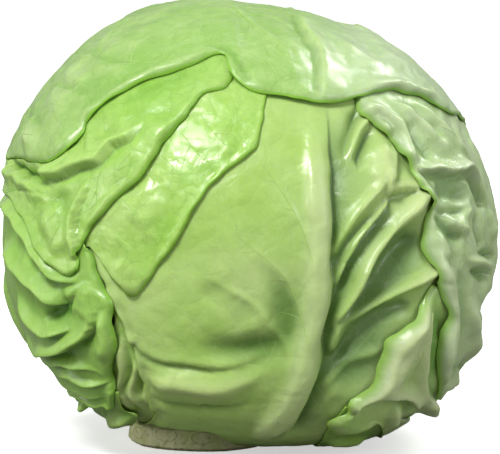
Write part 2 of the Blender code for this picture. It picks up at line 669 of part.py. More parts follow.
def leaf_right_lower():
    outline = {
        "left": [at_stalk(103), around(72, -60), (380, 424), (356, 432), (338, 437), (328, 426),
                 (337, 420), (349, 415), (350, 406), (362, 398), (376, 384), (382, 370),
                 (388, 353), (390, 344), (397, 336), (407, 326), (416, 318), (425, 304),
                 (438, 286)],
        "right": [at_stalk(122), around(100, -52), (404, 419), (434, 405), (452, 374),
                  (462, 335), (458, 290)],
    }
    folds = [
        ridge([(330, 426), (350, 411), (366, 397), (381, 381), (388, 366), (393, 350),
               (404, 333), (418, 320), (434, 296)], 1.6, 1.6, 2.6),
        ridge([(437, 290), (426, 312), (410, 336), (404, 356), (394, 376), (376, 394),
               (352, 410)], 4.0, 5.0, 5.4, (0.3, 0.3)),
        lap([(437, 408), (428, 394), (423, 380), (424, 362), (425, 345), (431, 322),
             (440, 298)], 3.0, 3.6, 3.6, (0.1, 0.3)),
        ridge([(443, 300), (440, 330), (438, 355), (436, 384)], -4.0, 4.0),
        lap([(372, 400), (384, 396), (396, 397), (408, 400), (422, 406)], 3.2, 4.0, 3.4),
        ridge([(352, 404), (352, 416)], 1.4, 1.8),
        ridge([(424, 398), (428, 410)], 2.4, 2.6),
        ridge([(392, 408), (397, 422)], 2.8, 2.8),
    ]
    return {"outline": outline, "folds": folds, "depth": 1.15, "level": -0.3,
            "grid": (22, 12), "colour": "#AAD278", "roughness": 0.36}


def leaf_right():
    outline = {
        "foot": [(437, 399), (456, 382), (473, 367), around(86, -40), around(95, -55),
                 at_stalk(100), at_stalk(118), at_stalk(136), at_stalk(155)],
        "tip": [(358, 88), (400, 78), around(62, 48), around(110, 58), around(150, 58)],
        "left": [(437, 399), (439, 367), (441, 343), (447, 316), (439, 283), (429, 248),
                 (430, 217), (431, 206), (422, 188), (410, 164), (397, 141), (378, 124),
                 (362, 109), (358, 88)],
        "right": [at_stalk(155), around(152, -35), around(150, 10), around(150, 58)],
    }
    folds = [
        ridge([(440, 392), (443, 367), (446, 343), (451, 316), (445, 285), (436, 256),
               (434, 226)], 3.0, 3.0, 3.4),
        ridge([(431, 202), (423, 186), (412, 166), (401, 147), (382, 128), (366, 112)],
              1.8, 2.0, 2.4),
        ridge([(360, 106), (380, 112), (400, 129), (410, 152), (421, 166)], 2.2, 2.2, 2.2,
              (0.1, 0.2)),
        ridge([(388, 128), (400, 142), (406, 156)], -1.6, 1.8),
        ridge([(382, 96), (404, 113), (422, 128), (440, 146), (456, 166)], 2.4, 2.2),
        ridge([(400, 124), (418, 142), (434, 160)], -2.0, 2.4),
        ridge([(410, 98), (436, 122), (456, 142), (470, 160)], 1.8, 2.4),
        ridge([(404, 102), (428, 126), (446, 146)], -1.6, 2.2),
        lap([(412, 160), (421, 167), (433, 167), (440, 171), (448, 173), (454, 169),
             (460, 165), (465, 167), (471, 174), (476, 184), (482, 198), (489, 212)],
            3.0, 3.0, 4.0, (0.15, 0.4)),
        ridge([(434, 188), (452, 194), (468, 192)], -2.8, 4.2),
        crease([(470, 176), (476, 190), (484, 208)], 3.0, 1.4, 2.4),
        crease([(431, 207), (443, 213), (455, 211), (473, 206)], 1.8, 1.2),
        ridge([(444, 200), (460, 204), (474, 214)], 1.4, 2.2),
        crease([(433, 213), (441, 220), (450, 229), (464, 240)], 4.6, 1.3, 2.0),
        ridge([(442, 214), (456, 222), (470, 234)], 1.8, 2.4),
        ridge([(434, 226), (440, 240), (446, 262)], 1.8, 2.2),
        crease([(477, 210), (478, 230), (482, 250)], 2.0, 1.2, 2.0),
        ridge([(486, 206), (491, 224), (492, 240)], 1.6, 2.4),
        crease([(474, 246), (482, 252), (494, 254)], 3.2, 1.6, 1.6, (0.4, 0.1)),
        ridge([(462, 258), (478, 262), (492, 264)], 1.8, 2.0),
        crease([(466, 268), (476, 274), (490, 276)], 3.8, 1.6, 2.2, (0.4, 0.1)),
        ridge([(456, 266), (460, 296), (459, 326), (454, 352)], -2.6, 3.0),
        ridge([(466, 284), (471, 312), (473, 338), (466, 362)], 2.6, 4.0),
        ridge([around(68, -15), around(90, -18.5), around(112, -18)], -3.4, 3.6),
        ridge([around(70, -27), around(90, -29), around(110, -29)], -1.2, 5),
        crease([(442, 372), (450, 366), (460, 367), (468, 372)], 3.0, 1.6),
        ridge([(444, 382), (456, 378), (470, 380)], 1.6, 2.4),
    ]
    folds += veins_beside_rib(128, (-20, 8, 36), 22)
    return {"outline": outline, "folds": folds, "depth": 1.25, "level": 1.1,
            "grid": (26, 19), "colour": "#8CB464", "roughness": 0.38}


def leaf_crown():
    outline = {
        "crowding": 0.7,
        "foot": [at_stalk(-150), at_stalk(180), at_stalk(150)],
        "tip": [(3, 157), (22, 159), (42, 169), (51, 175), (62, 171), (76, 165), (94, 161),
                (103, 154), (113, 144), (130, 138), (139, 129), (148, 113), (148, 96),
                (156, 79), (192, 65), (221, 54), (228, 64), (234, 77), (256, 90), (287, 95),
                (325, 101), (361, 96), (387, 91), (412, 95), (444, 112), (461, 121)],
        "left": [at_stalk(-150), around(-150, -45), around(-132, -10), around(-110, 6),
                 (3, 158)],
        "rib": [at_stalk(180), around(180, -40), around(180, 0), around(180, 45),
                around(180, 85), around(0, 70), (221, 54)],
        "right": [at_stalk(150), around(148, -45), around(132, -5), around(108, 18),
                  (461, 121)],
    }
    folds = [
        lap([(85, 142), (85, 130), (88, 120), (100, 108), (112, 100), (123, 91), (136, 83),
             (150, 77), (166, 72)], 2.6, 2.2, 2.6, (0.4, 0.12)),
        ridge([(142, 80), (150, 76), (165, 71), (191, 62), (218, 51)], 1.7, 2.2, 2.2,
              (0.12, 0.3)),
        ridge([(30, 160), (52, 167), (76, 158), (98, 150), (112, 138), (130, 130), (142, 116)],
              1.2, 3.0),
        ridge([(94, 120), (93, 136), (97, 150)], 1.0, 2.4),
        ridge([(118, 108), (122, 120), (120, 134)], 0.8, 4),
        ridge([(232, 73), (256, 87), (287, 92), (325, 97), (361, 93)], 1.0, 2.4),
        ridge([(356, 92), (374, 86), (394, 86), (412, 91), (446, 110)], 2.8, 2.4),
        crease([(292, 14), (303, 30), (315, 45), (321, 61), (324, 94)], 2.2, 2.2, 1.4),
        ridge([(300, 14), (313, 30), (325, 48), (332, 70), (333, 92)], 1.2, 3.4),
        crease([(204, 46), (222, 50), (236, 58), (242, 72), (256, 86)], 1.8, 1.6),
        ridge([(238, 44), (258, 58), (276, 76)], 1.2, 4.5),
        ridge([(70, 68), (76, 82), (84, 96)], 2.2, 6),
        ridge([(52, 92), (60, 104), (70, 118)], 1.8, 5),
        crease([(30, 110), (40, 118), (52, 128)], 1.6, 2.4),
        ridge([(28, 128), (40, 142), (58, 148)], 1.4, 4.5),
        ridge([(118, 26), (146, 18), (180, 12)], 1.2, 5),
        crease([(112, 34), (140, 28), (172, 20)], 0.9, 3),
        ridge([(336, 44), (360, 54), (382, 76)], 1.6, 5),
        ridge([(384, 50), (410, 72), (436, 98)], 1.0, 5),
        crease([(352, 34), (378, 54), (402, 80)], 0.8, 3),
        rib([around(180, -66), around(180, -30), around(180, 10), around(180, 50),
             around(180, 82)], 3.0, 4.6),
    ]
    folds += veins_beside_rib(180, (-45, -22, 0, 22, 44), 40, 1.6, 3.0)
    return {"outline": outline, "folds": folds, "depth": 1.2, "level": 1.0,
            "grid": (26, 27), "colour": "#A5C87D", "roughness": 0.38}


def build():
    for old in list(bpy.data.objects):
        bpy.data.objects.remove(old, do_unlink=True)
    laid = [stalk(), inner_head()]
    for leaf in (leaf_left_inner, leaf_front, leaf_left_flap, leaf_base_left, leaf_left_lower,
                 leaf_left, leaf_base_right, leaf_right_lower, leaf_right, leaf_crown):
        lay_leaf(leaf.__name__, leaf(), laid)


build()
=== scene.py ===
# %% [markdown]
# # Green cabbage: the leaves' surfaces
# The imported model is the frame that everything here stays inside. Its solids are coarse;
# this script lays the same leaves again with about fifty times as many faces, so that
# creases, ribs and thin margins can be seen, and gives each kind of leaf its finish.

# %% Load the frame
import math

import bmesh
import bpy
import numpy as np
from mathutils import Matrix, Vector
from mathutils.bvhtree import BVHTree


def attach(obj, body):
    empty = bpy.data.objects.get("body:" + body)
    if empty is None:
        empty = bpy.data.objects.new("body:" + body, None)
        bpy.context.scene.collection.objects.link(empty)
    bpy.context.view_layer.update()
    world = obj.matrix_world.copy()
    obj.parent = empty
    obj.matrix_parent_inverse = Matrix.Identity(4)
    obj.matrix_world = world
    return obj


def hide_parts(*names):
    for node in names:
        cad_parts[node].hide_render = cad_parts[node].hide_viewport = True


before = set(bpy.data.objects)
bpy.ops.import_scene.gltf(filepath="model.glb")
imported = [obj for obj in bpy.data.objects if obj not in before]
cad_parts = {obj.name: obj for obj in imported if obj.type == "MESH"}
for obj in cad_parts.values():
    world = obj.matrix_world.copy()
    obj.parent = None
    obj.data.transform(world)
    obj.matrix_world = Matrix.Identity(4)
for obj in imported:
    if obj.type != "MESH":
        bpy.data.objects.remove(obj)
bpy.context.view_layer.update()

print("frame loaded:", len(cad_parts), "nodes")

# %% [markdown]
# ## The head's form
# A head of cabbage is a stack of leaves pressed on one another, so every leaf follows one
# round form, and a leaf can be drawn on it as directions from the head's middle. Lengths
# are in metres, as everywhere in Blender, and drawings say where they use millimetres.

# %% Sizes of the head, and directions from its middle
HEAD_WIDTH = 0.180
HEAD_DEPTH = 0.168
HEAD_MIDDLE = np.array([0.0, 0.0, 0.0775])
STALK_CENTRE_X = -0.017
FOOT_RING_RADIUS = 0.0297
FOOT_RING_HEIGHT = 0.0080


def unit(vectors):
    vectors = np.asarray(vectors, dtype=float)
    return vectors / np.linalg.norm(vectors, axis=-1, keepdims=True)


def around(turn, rise):
    """Direction from the head's middle: turn from the front to the right, and rise, in degrees."""
    turn, rise = math.radians(turn), math.radians(rise)
    level = math.cos(rise)
    return np.array([level * math.sin(turn), -level * math.cos(turn), math.sin(rise)])


def at_stalk(turn):
    """Direction to a point of the ring round the stalk where the leaves grow."""
    turn = math.radians(turn)
    point = np.array([
        STALK_CENTRE_X + FOOT_RING_RADIUS * math.sin(turn),
        -FOOT_RING_RADIUS * math.cos(turn),
        FOOT_RING_HEIGHT,
    ])
    return unit(point - HEAD_MIDDLE)


print("head", HEAD_WIDTH * 1000, "mm wide and", HEAD_DEPTH * 1000, "mm deep")

# %% [markdown]
# ## The outline of the front view
# The outline is drawn as points of the front view, a picture 500 steps wide. A drawn line
# has corners, and a head hasn't, so it is read by angle as a mean of five places.

# %% The outline, read by angle
VIEW_STEP = HEAD_WIDTH / 500
VIEW_MIDDLE = (250, 226)
HEAD_OUTLINE = [
    (498, 235), (484, 168), (454, 112), (405, 59), (341, 25), (257, 5), (170, 5),
    (104, 31), (55, 78), (18, 132), (3, 200), (5, 280), (28, 338), (68, 388),
    (120, 428), (190, 448), (290, 450), (370, 438), (430, 404), (468, 355), (488, 290),
]
ROUNDING_TURNS = (-9, -4.5, 0, 4.5, 9)
ROUNDING_SHARES = (0.1, 0.24, 0.32, 0.24, 0.1)


def outline_table():
    """The head's outline as angle and reach, for reading between its points."""
    points = (np.array(HEAD_OUTLINE, dtype=float) - VIEW_MIDDLE) * (VIEW_STEP, -VIEW_STEP)
    angles = np.arctan2(points[:, 1], points[:, 0])
    order = np.argsort(angles)
    reach = np.linalg.norm(points, axis=1)[order]
    angles = angles[order]
    return np.concatenate([angles - math.tau, angles, angles + math.tau]), np.tile(reach, 3)


OUTLINE_ANGLES, OUTLINE_REACH = outline_table()


def outline_reach(angles):
    """Reach of the outline at each angle, rounded off between its points."""
    return sum(
        share * np.interp(angles + turn, OUTLINE_ANGLES, OUTLINE_REACH)
        for turn, share in zip(np.radians(ROUNDING_TURNS), ROUNDING_SHARES)
    )


print("one step of the view is", VIEW_STEP * 1000, "mm")

# %% [markdown]
# ## The form as a function
# The outline is carried round to the back as an ellipse that is a little squared, more so
# low down. The underside is flat, with a hollow where the stalk comes out, as on a real
# head that has been trimmed. In front, the foot of the largest leaf hangs down beside the
# stump, and the edge over the stump is lifted.

# %% Reach of the form in any direction
FORM_POWER = 2.15
LOW_FORM_POWER = 0.5
LOW_FORM_SETS_IN = 1.5
UNDERSIDE_HEIGHT = 0.0035
DIMPLE_DEPTH = 0.0130
DIMPLE_WIDTH = 0.0330
DIMPLE_SETS_IN = 2
FOOT_BULGE_X = 0.002
FOOT_BULGE_WIDTH = 0.015
FOOT_BULGE_DROP = 0.0060
FOOT_RISE = 0.0078
FOOT_RISE_SPAN = (-0.050, -0.036, -0.014, 0.000)
FOOT_RISE_STARTS = 0.15
FOOT_RISE_FADE = 0.25
LEAST_FALL = 0.05


def smoothstep(values):
    values = np.clip(values, 0, 1)
    return values * values * (3 - 2 * values)


def ended(reach, directions, drop):
    """A reach that goes no further than this far below the head's middle."""
    return np.minimum(reach, drop / np.clip(-directions[..., 2], LEAST_FALL, 1))


def form_reach(directions):
    """Distance from the head's middle to its outer form, with the hollow round the stalk."""
    directions = np.asarray(directions, dtype=float)
    side = np.hypot(directions[..., 0], directions[..., 2])
    outline = outline_reach(np.arctan2(directions[..., 2], directions[..., 0]))
    depth = np.abs(directions[..., 1]) / (HEAD_DEPTH / 2)
    power = FORM_POWER + LOW_FORM_POWER * np.clip(-directions[..., 2] * LOW_FORM_SETS_IN, 0, 1)
    reach = ((side / outline) ** power + depth ** power) ** (-1 / power)
    points = directions * reach[..., None] + HEAD_MIDDLE
    from_stalk = np.hypot(points[..., 0] - STALK_CENTRE_X, points[..., 1])
    below = np.clip(-directions[..., 2] * DIMPLE_SETS_IN, 0, 1)
    reach = reach - below * DIMPLE_DEPTH * np.exp(-(from_stalk / DIMPLE_WIDTH) ** 2)
    in_front = np.clip(-directions[..., 1], 0, 1)
    bulge = np.exp(-((points[..., 0] - FOOT_BULGE_X) / FOOT_BULGE_WIDTH) ** 2)
    drop = HEAD_MIDDLE[2] - UNDERSIDE_HEIGHT + FOOT_BULGE_DROP * in_front * bulge
    opens, full, closes, ends = FOOT_RISE_SPAN
    showing = smoothstep((points[..., 0] - opens) / (full - opens))
    showing = showing * (1 - smoothstep((points[..., 0] - closes) / (ends - closes)))
    lifted = smoothstep((in_front - FOOT_RISE_STARTS) / FOOT_RISE_FADE)
    drop = drop - FOOT_RISE * showing * lifted
    return ended(reach, directions, drop)


print("reach to the right:", round(float(form_reach(around(90, 0))) * 1000, 1), "mm")

# %% [markdown]
# ## Drawing on the head
# A leaf's margin is easiest to draw as it is seen from the front. A point of that view is
# a line of sight, and where it meets the form is where the point lies. Points on the
# hidden sides are given by their turn and rise.

# %% From the front view to the head, and smooth lines through points
VIEW_RISE = math.radians(8)
VIEW_DISTANCE = 1.8
SIGHT_SPAN = (-0.11, 0.02)
SIGHT_STEPS = 400
CURVE_STEPS = 16


def seen(px, py):
    """Direction from the head's middle to what shows at a point of the front view."""
    back = np.array([0, math.cos(VIEW_RISE), -math.sin(VIEW_RISE)])
    up = np.array([0, math.sin(VIEW_RISE), math.cos(VIEW_RISE)])
    across = (px - VIEW_MIDDLE[0]) * VIEW_STEP
    rise = (VIEW_MIDDLE[1] - py) * VIEW_STEP
    target = np.array([across, 0, 0]) + rise * up
    eye = -VIEW_DISTANCE * back
    steps = np.linspace(*SIGHT_SPAN, SIGHT_STEPS)[:, None] / VIEW_DISTANCE
    points = target + (target - eye) * steps
    reach = np.linalg.norm(points, axis=1)
    outside = reach / form_reach(unit(points))
    hits = np.nonzero(outside <= 1)[0]
    index = hits[0] if len(hits) else np.argmin(outside)
    return unit(points[index])


def place(point):
    """A border or stroke point: a front view pair stays a pair, a direction stays itself."""
    return seen(*point) if len(point) == 2 else np.asarray(point)


def smooth_path(points, count, crowding=1.0):
    """Directions along a smooth curve through the points, even or crowded to its end."""
    knots = np.array([place(point) for point in points])
    knots = np.vstack([2 * knots[0] - knots[1], knots, 2 * knots[-1] - knots[-2]])
    pieces = []
    for a, b, c, d in zip(knots, knots[1:], knots[2:], knots[3:]):
        t = np.linspace(0, 1, CURVE_STEPS, endpoint=False)[:, None]
        pieces.append(0.5 * (
            2 * b + (c - a) * t + (2 * a - 5 * b + 4 * c - d) * t ** 2
            + (3 * b - a - 3 * c + d) * t ** 3
        ))
    line = unit(np.vstack(pieces + [knots[-2:-1]]))
    gone = np.concatenate([[0], np.cumsum(np.linalg.norm(np.diff(line, axis=0), axis=1))])
    wanted = gone[-1] * np.linspace(0, 1, count) ** crowding
    return unit(np.stack([np.interp(wanted, gone, line[:, axis]) for axis in range(3)], 1))


print("the view's middle lies towards", seen(*VIEW_MIDDLE).round(3))

# %% [markdown]
# ## A leaf as a grid
# A leaf is a sheet with four borders: the foot at the stalk, two sides and the tip. Rows
# run across it from side to side, bent through the rib, so the mesh flows as the leaf
# grew. Ruling it between its borders keeps the margin exactly where it was drawn.

# %% The grid between the borders
def ruled_grid(outline, rows, columns):
    """Directions of a leaf's grid, ruled between its borders from the foot to the tip."""
    crowding = outline.get("crowding", 1.0)
    left = smooth_path(outline["left"], rows + 1, outline.get("left_crowding", crowding))
    right = smooth_path(outline["right"], rows + 1, crowding)
    middle = unit(left + right)
    if "rib" in outline:
        middle = smooth_path(outline["rib"], rows + 1, crowding)
    u = np.linspace(0, 1, columns + 1)[None, :, None]
    v = np.linspace(0, 1, rows + 1)[:, None, None] ** crowding
    grid = (
        left[:, None] * (2 * u - 1) * (u - 1)
        + middle[:, None] * 4 * u * (1 - u)
        + right[:, None] * u * (2 * u - 1)
    )
    grid = unit(grid)
    if "tip" in outline:
        grid = grid + v ** 3 * (smooth_path(outline["tip"], columns + 1) - grid[-1])[None]
    if "foot" in outline:
        grid = grid + (1 - v) ** 3 * (smooth_path(outline["foot"], columns + 1) - grid[0])[None]
    return unit(grid)


patch = {side: [around(turn, 0), around(turn, 30)] for side, turn in (("left", -9), ("right", 9))}
print("a patch of 2 by 2 cells has", ruled_grid(patch, 2, 2)[..., 0].size, "points")

# %% [markdown]
# ## Rows that never cross
# Where a margin turns sharply, ruled rows can run over one another and the leaf would
# fold through itself. So each point inside moves between its neighbours, weighed by how
# stretched the grid is both ways, until the rows lie side by side. It is done on a small
# grid first, because there it settles in fewer and quicker rounds. No living margin is a
# clean curve, so at last the grid is shifted a little to and fro by smooth waves.

# %% Evening out the grid
SMALL_GRID = 30
SMALL_ROUNDS = 300
FINE_ROUNDS = 60
KEPT_SHARE = 0.3
SMALLEST = 1e-9
# Size and wavelengths as shares of the head's radius.
WAVER = {"size": 0.00198, "waves": 12, "lengths": (0.06, 0.2), "seed": 11}
FOOT_IS_STILL = 1.25


def even_out(grid, rounds):
    """Moves the inner points of a grid until no row crosses another."""
    for _ in range(rounds):
        over = (grid[1:-1, 2:] - grid[1:-1, :-2]) / 2
        up = (grid[2:, 1:-1] - grid[:-2, 1:-1]) / 2
        twist = (grid[2:, 2:] - grid[2:, :-2] - grid[:-2, 2:] + grid[:-2, :-2]) / 4
        a = (up * up).sum(-1, keepdims=True) + SMALLEST
        b = (over * up).sum(-1, keepdims=True)
        c = (over * over).sum(-1, keepdims=True) + SMALLEST
        moved = a * (grid[1:-1, 2:] + grid[1:-1, :-2]) + c * (grid[2:, 1:-1] + grid[:-2, 1:-1])
        moved = (moved - 2 * b * twist) / (2 * (a + c))
        grid[1:-1, 1:-1] = unit(KEPT_SHARE * grid[1:-1, 1:-1] + (1 - KEPT_SHARE) * moved)
    return grid


def stretched(grid, count):
    """The grid's rows read at evenly spaced places between them."""
    rows = np.linspace(0, len(grid) - 1, count)
    lower = np.minimum(rows.astype(int), len(grid) - 2)
    part = (rows - lower)[:, None, None]
    return grid[lower] * (1 - part) + grid[lower + 1] * part


def swaying(spots, size, waves, lengths, seed):
    """Smooth random shifts of each spot to and fro, the same each run."""
    draw = np.random.default_rng(seed)
    shift = np.zeros_like(spots)
    for _ in range(waves):
        heading = unit(draw.normal(size=3)) * math.tau / draw.uniform(*lengths)
        wave = np.sin(spots @ heading + draw.uniform(0, math.tau))
        shift += size * unit(draw.normal(size=3)) * wave[..., None]
    return shift


def leaf_grid(outline, rows, columns):
    """The leaf's directions, evened out inside and exact along its borders."""
    small = even_out(ruled_grid(outline, SMALL_GRID, SMALL_GRID), SMALL_ROUNDS)
    wide = stretched(small.swapaxes(0, 1), columns + 1).swapaxes(0, 1)
    grid = ruled_grid(outline, rows, columns)
    grid[1:-1, 1:-1] = unit(stretched(wide, rows + 1))[1:-1, 1:-1]
    grid = even_out(grid, FINE_ROUNDS)
    above_foot = np.clip(1 + grid[..., 2:] * FOOT_IS_STILL, 0, 1)
    return unit(grid + swaying(grid, **WAVER) * above_foot)


print("a grid is evened out in", SMALL_ROUNDS, "small and", FINE_ROUNDS, "fine rounds")

# %% [markdown]
# ## Folds
# A fold, rib or crease is a stroke: a line on the leaf, how far it raises or sinks it, and
# how wide it is on either side. A ridge is round like a bell, and a rib has a flatter top
# and steeper sides. A crease comes to a sharp valley, because the leaf is pinched there. A
# lap is a laid step, round on one side with a sharp drop on the other.

# %% Strokes and their sections
SECTION_POWERS = {"ridge": 2, "rib": 3.2, "crease": 1.25}
LAP_STEEPNESS = 0.0010
LAP_DIP = 0.9


def stroke(kind, points, height, left, right=None, ends=(0.3, 0.3)):
    """A line on the leaf, its height and its widths to either side in millimetres.

    Its ends are the shares of its length over which it rises and fades.
    """
    right = left if right is None else right
    return kind, points, height / 1000, left / 1000, right / 1000, ends


def ridge(points, height, left, right=None, ends=(0.3, 0.3)):
    return stroke("ridge", points, height, left, right, ends)


def rib(points, height, left, right=None, ends=(0.05, 0.3)):
    return stroke("rib", points, height, left, right, ends)


def crease(points, depth, left, right=None, ends=(0.3, 0.3)):
    return stroke("crease", points, -depth, left, right, ends)


def lap(points, height, left, right=None, ends=(0.3, 0.3)):
    return stroke("lap", points, height, left, right, ends)


def profile(across, left, right, kind):
    """The stroke's section: positive distances lie to the right of its heading."""
    if kind == "lap":
        lower = np.exp(-(across / LAP_STEEPNESS) ** 2)
        dip = LAP_DIP * (np.exp(-(across / right) ** 2) - lower)
        return np.where(across > 0, lower - dip, np.exp(-(across / left) ** 2))
    share = across / np.where(across > 0, right, left)
    return np.exp(-np.abs(share) ** SECTION_POWERS[kind])


print("a ridge is down to", round(float(profile(1.0, 1.0, 1.0, "ridge")), 2), "at its width")

# %% [markdown]
# ## What the strokes do to a leaf
# A stroke rises from nothing at its ends and is narrower there. More than 150 of them would
# be slow on a fine mesh, so each one touches only the points near it. Only a rib is as
# straight as it was drawn. The others are read a little aside, so none looks ruled.

# %% How far the strokes raise each spot
LINE_STEPS = 90
STROKE_REACH = 3.0
END_WIDTH = 0.5
# Size and wavelengths in metres.
DRIFT = {"size": 0.00042, "waves": 10, "lengths": (0.010, 0.030), "seed": 7}


def near(spots, line, distance):
    """Indexes of the spots inside the line's box, grown by a distance."""
    low = line.min(0) - distance
    high = line.max(0) + distance
    return np.nonzero(((spots > low) & (spots < high)).all(1))[0]


def touch(spots, fold):
    """Which spots a stroke touches, and how far it raises them."""
    kind, points, height, left, right, ends = fold
    line = smooth_path(points, LINE_STEPS)
    line = line * form_reach(line)[:, None]
    along = unit(np.gradient(line, axis=0))
    side = np.cross(along, unit(line))
    touched = near(spots, line, STROKE_REACH * max(left, right))
    if not len(touched):
        return touched, np.zeros(0)
    flat = spots[touched]
    nearest = (-2 * flat @ line.T + (line ** 2).sum(1)[None]).argmin(1)
    step = flat - line[nearest]
    across = (step * side[nearest]).sum(1)
    ahead = (step * along[nearest]).sum(1)
    length = np.linalg.norm(np.diff(line, axis=0), axis=1).sum()
    where = nearest / (LINE_STEPS - 1) + ahead / length
    taper = smoothstep(where / ends[0]) * smoothstep((1 - where) / ends[1])
    narrow = END_WIDTH + (1 - END_WIDTH) * taper
    return touched, height * taper * profile(across / narrow, left, right, kind)


def relief(spots, folds):
    """How far the folds raise each spot of the form, and how much of that is rib."""
    moved = spots + swaying(spots, **DRIFT)
    raised = np.zeros(len(spots))
    ribbed = np.zeros(len(spots))
    for fold in folds:
        touched, lift = touch(spots if fold[0] == "rib" else moved, fold)
        raised[touched] += lift
        if fold[0] == "rib":
            ribbed[touched] = np.maximum(ribbed[touched], lift / fold[2])
    return raised, ribbed


print("strokes reach", STROKE_REACH, "widths to either side")

# %% [markdown]
# ## Side veins on the hidden sides
# Round the sides and at the back nothing can be drawn on the front view. There the side
# veins leave a rib in pairs and climb outwards, so each leaf only gives the rib's turn, the
# rises where its veins leave it, and how far round they go.

# %% Pairs of side veins
VEIN_PAIRS = {
    "leaf_crown": (180, (-45, -22, 0, 22, 44), 40),
    "leaf_left": (-135, (-20, 8, 36), 22),
    "leaf_right": (128, (-20, 8, 36), 22),
    "leaf_left_lower": (-134, (-30, -8), 16),
}
VEIN_STARTS_ASIDE = 3
VEIN_BENDS_AT = 0.5
VEIN_CLIMB = (12, 32)
SIDE_VEIN_WIDTH = 3.0


def veins_beside_rib(name, height=1.0):
    """Strokes for the pairs of side veins that leave a rib and climb outwards."""
    turn, rises, reach = VEIN_PAIRS[name]
    return [
        ridge([
            around(turn + VEIN_STARTS_ASIDE * side, rise),
            around(turn + VEIN_BENDS_AT * reach * side, rise + VEIN_CLIMB[0]),
            around(turn + reach * side, rise + VEIN_CLIMB[1]),
        ], height, SIDE_VEIN_WIDTH)
        for rise in rises for side in (-1, 1)
    ]


print("side veins of the crown:", len(veins_beside_rib("leaf_crown")))

# %% [markdown]
# ## Laying one leaf on another
# Real leaves can't pass through each other, so each new leaf looks at what already lies
# beneath it and is lifted clear. Cloth simulation could press them together, but it would
# also move the drawn folds. So rays are shot inwards from outside to find the outermost
# face in each direction, and the leaf is raised just enough, with a soft slope round it.

# %% Draping a leaf over the ones beneath
LEAF_THICKNESS = 0.0008
LEAF_GAP = 0.0003
SPREAD_ROUNDS = 2
SOFTENING_ROUNDS = 6


def neighbourhood(values, combine):
    """Each grid value combined with the eight round it."""
    padded = np.pad(values, 1, mode="edge")
    rows, columns = values.shape
    return combine([
        padded[i:i + rows, j:j + columns] for i in range(3) for j in range(3)
    ], axis=0)


def reach_beneath(directions, tree):
    """Reach of the outermost leaf already laid in each direction."""
    middle = Vector(HEAD_MIDDLE)
    reach = np.zeros(directions.shape[:2])
    for index in np.ndindex(reach.shape):
        ray = Vector(directions[index])
        spot = tree.ray_cast(middle + ray * HEAD_WIDTH, -ray)[0]
        if spot is not None:
            reach[index] = (spot - middle).length
    return reach


def drape(directions, tree, wanted, thickness):
    """Lift the wanted reach where the leaf would cut into what lies beneath it."""
    form = form_reach(directions)
    beneath = reach_beneath(directions, tree) - form
    for _ in range(SPREAD_ROUNDS):
        beneath = neighbourhood(beneath, np.max)
    lift = np.clip(beneath + LEAF_GAP + thickness - (wanted - form), 0, None)
    for _ in range(SOFTENING_ROUNDS):
        lift = np.maximum(lift, neighbourhood(lift, np.mean))
    return wanted + lift


print("leaves lie", LEAF_GAP * 1000, "mm clear of one another")

# %% [markdown]
# ## Margins that roll under
# The free margin of an outer leaf curls a little towards the head, and that round lip
# catches the light. How deep it sinks is a quarter circle of the distance from the margin.

# %% Distance from a margin, and how far it sinks
ROLL_SETS_IN = 12


def border_distance(points, side):
    """How far each grid point lies from one border, along the grid's own lines."""
    axis, backwards = {"left": (1, False), "right": (1, True),
                       "foot": (0, False), "tip": (0, True)}[side]
    steps = np.linalg.norm(np.diff(points, axis=axis), axis=2)
    start = np.zeros_like(np.take(steps, [0], axis=axis))
    if backwards:
        steps = np.flip(steps, axis)
    gone = np.concatenate([start, np.cumsum(steps, axis=axis)], axis=axis)
    return np.flip(gone, axis) if backwards else gone


def roll_margin(points, roll):
    """How far a margin sinks where it is rolled under; depth and width in millimetres."""
    side, depth, width, start, end = roll
    distance = border_distance(points, side)
    share = np.clip(1 - distance / (width / 1000), 0, 1)
    sunk = depth / 1000 * (1 - np.sqrt(1 - share ** 2))
    along = 0 if side in ("left", "right") else 1
    where = np.linspace(0, 1, points.shape[along])
    opening = np.clip((where - start) * ROLL_SETS_IN + 1, 0, 1)
    window = opening * np.clip((end - where) * ROLL_SETS_IN + 1, 0, 1)
    return sunk * (window[:, None] if along == 0 else window[None])


print("half way across a roll 1 mm deep the leaf is down by",
      round(1 - math.sqrt(1 - 0.5 ** 2), 2), "mm")

# %% [markdown]
# ## Fine unevenness
# Between its veins a cabbage leaf swells up in soft blisters of about a centimetre. Adding
# sine waves that run in many directions gives such a surface with no repeat, and with a
# fixed seed it comes out the same each time.

# %% Crinkles
CRINKLE_WAVES = 14
CRINKLE_SPREAD = (0.7, 1.5)
FINER_WAVE = 0.36
FINER_HEIGHT = 0.28


def crinkle(spots, wavelength, height, seed):
    """Soft random waves of about one wavelength, the same each run."""
    draw = np.random.default_rng(seed)
    total = np.zeros(len(spots))
    for _ in range(CRINKLE_WAVES):
        heading = unit(draw.normal(size=3)) * math.tau / wavelength
        heading = heading * draw.uniform(*CRINKLE_SPREAD)
        total += np.sin(spots @ heading + draw.uniform(0, math.tau))
    return height * total / math.sqrt(CRINKLE_WAVES)


print("crinkles are the sum of", CRINKLE_WAVES, "waves")

# %% [markdown]
# ## From a grid to a thin closed leaf
# A leaf is a sheet 0.8 mm thick that thins towards its margin. Solidify would give one
# thickness everywhere, so the inner face is set beneath the outer one by hand and the four
# margins are closed with a strip of faces.

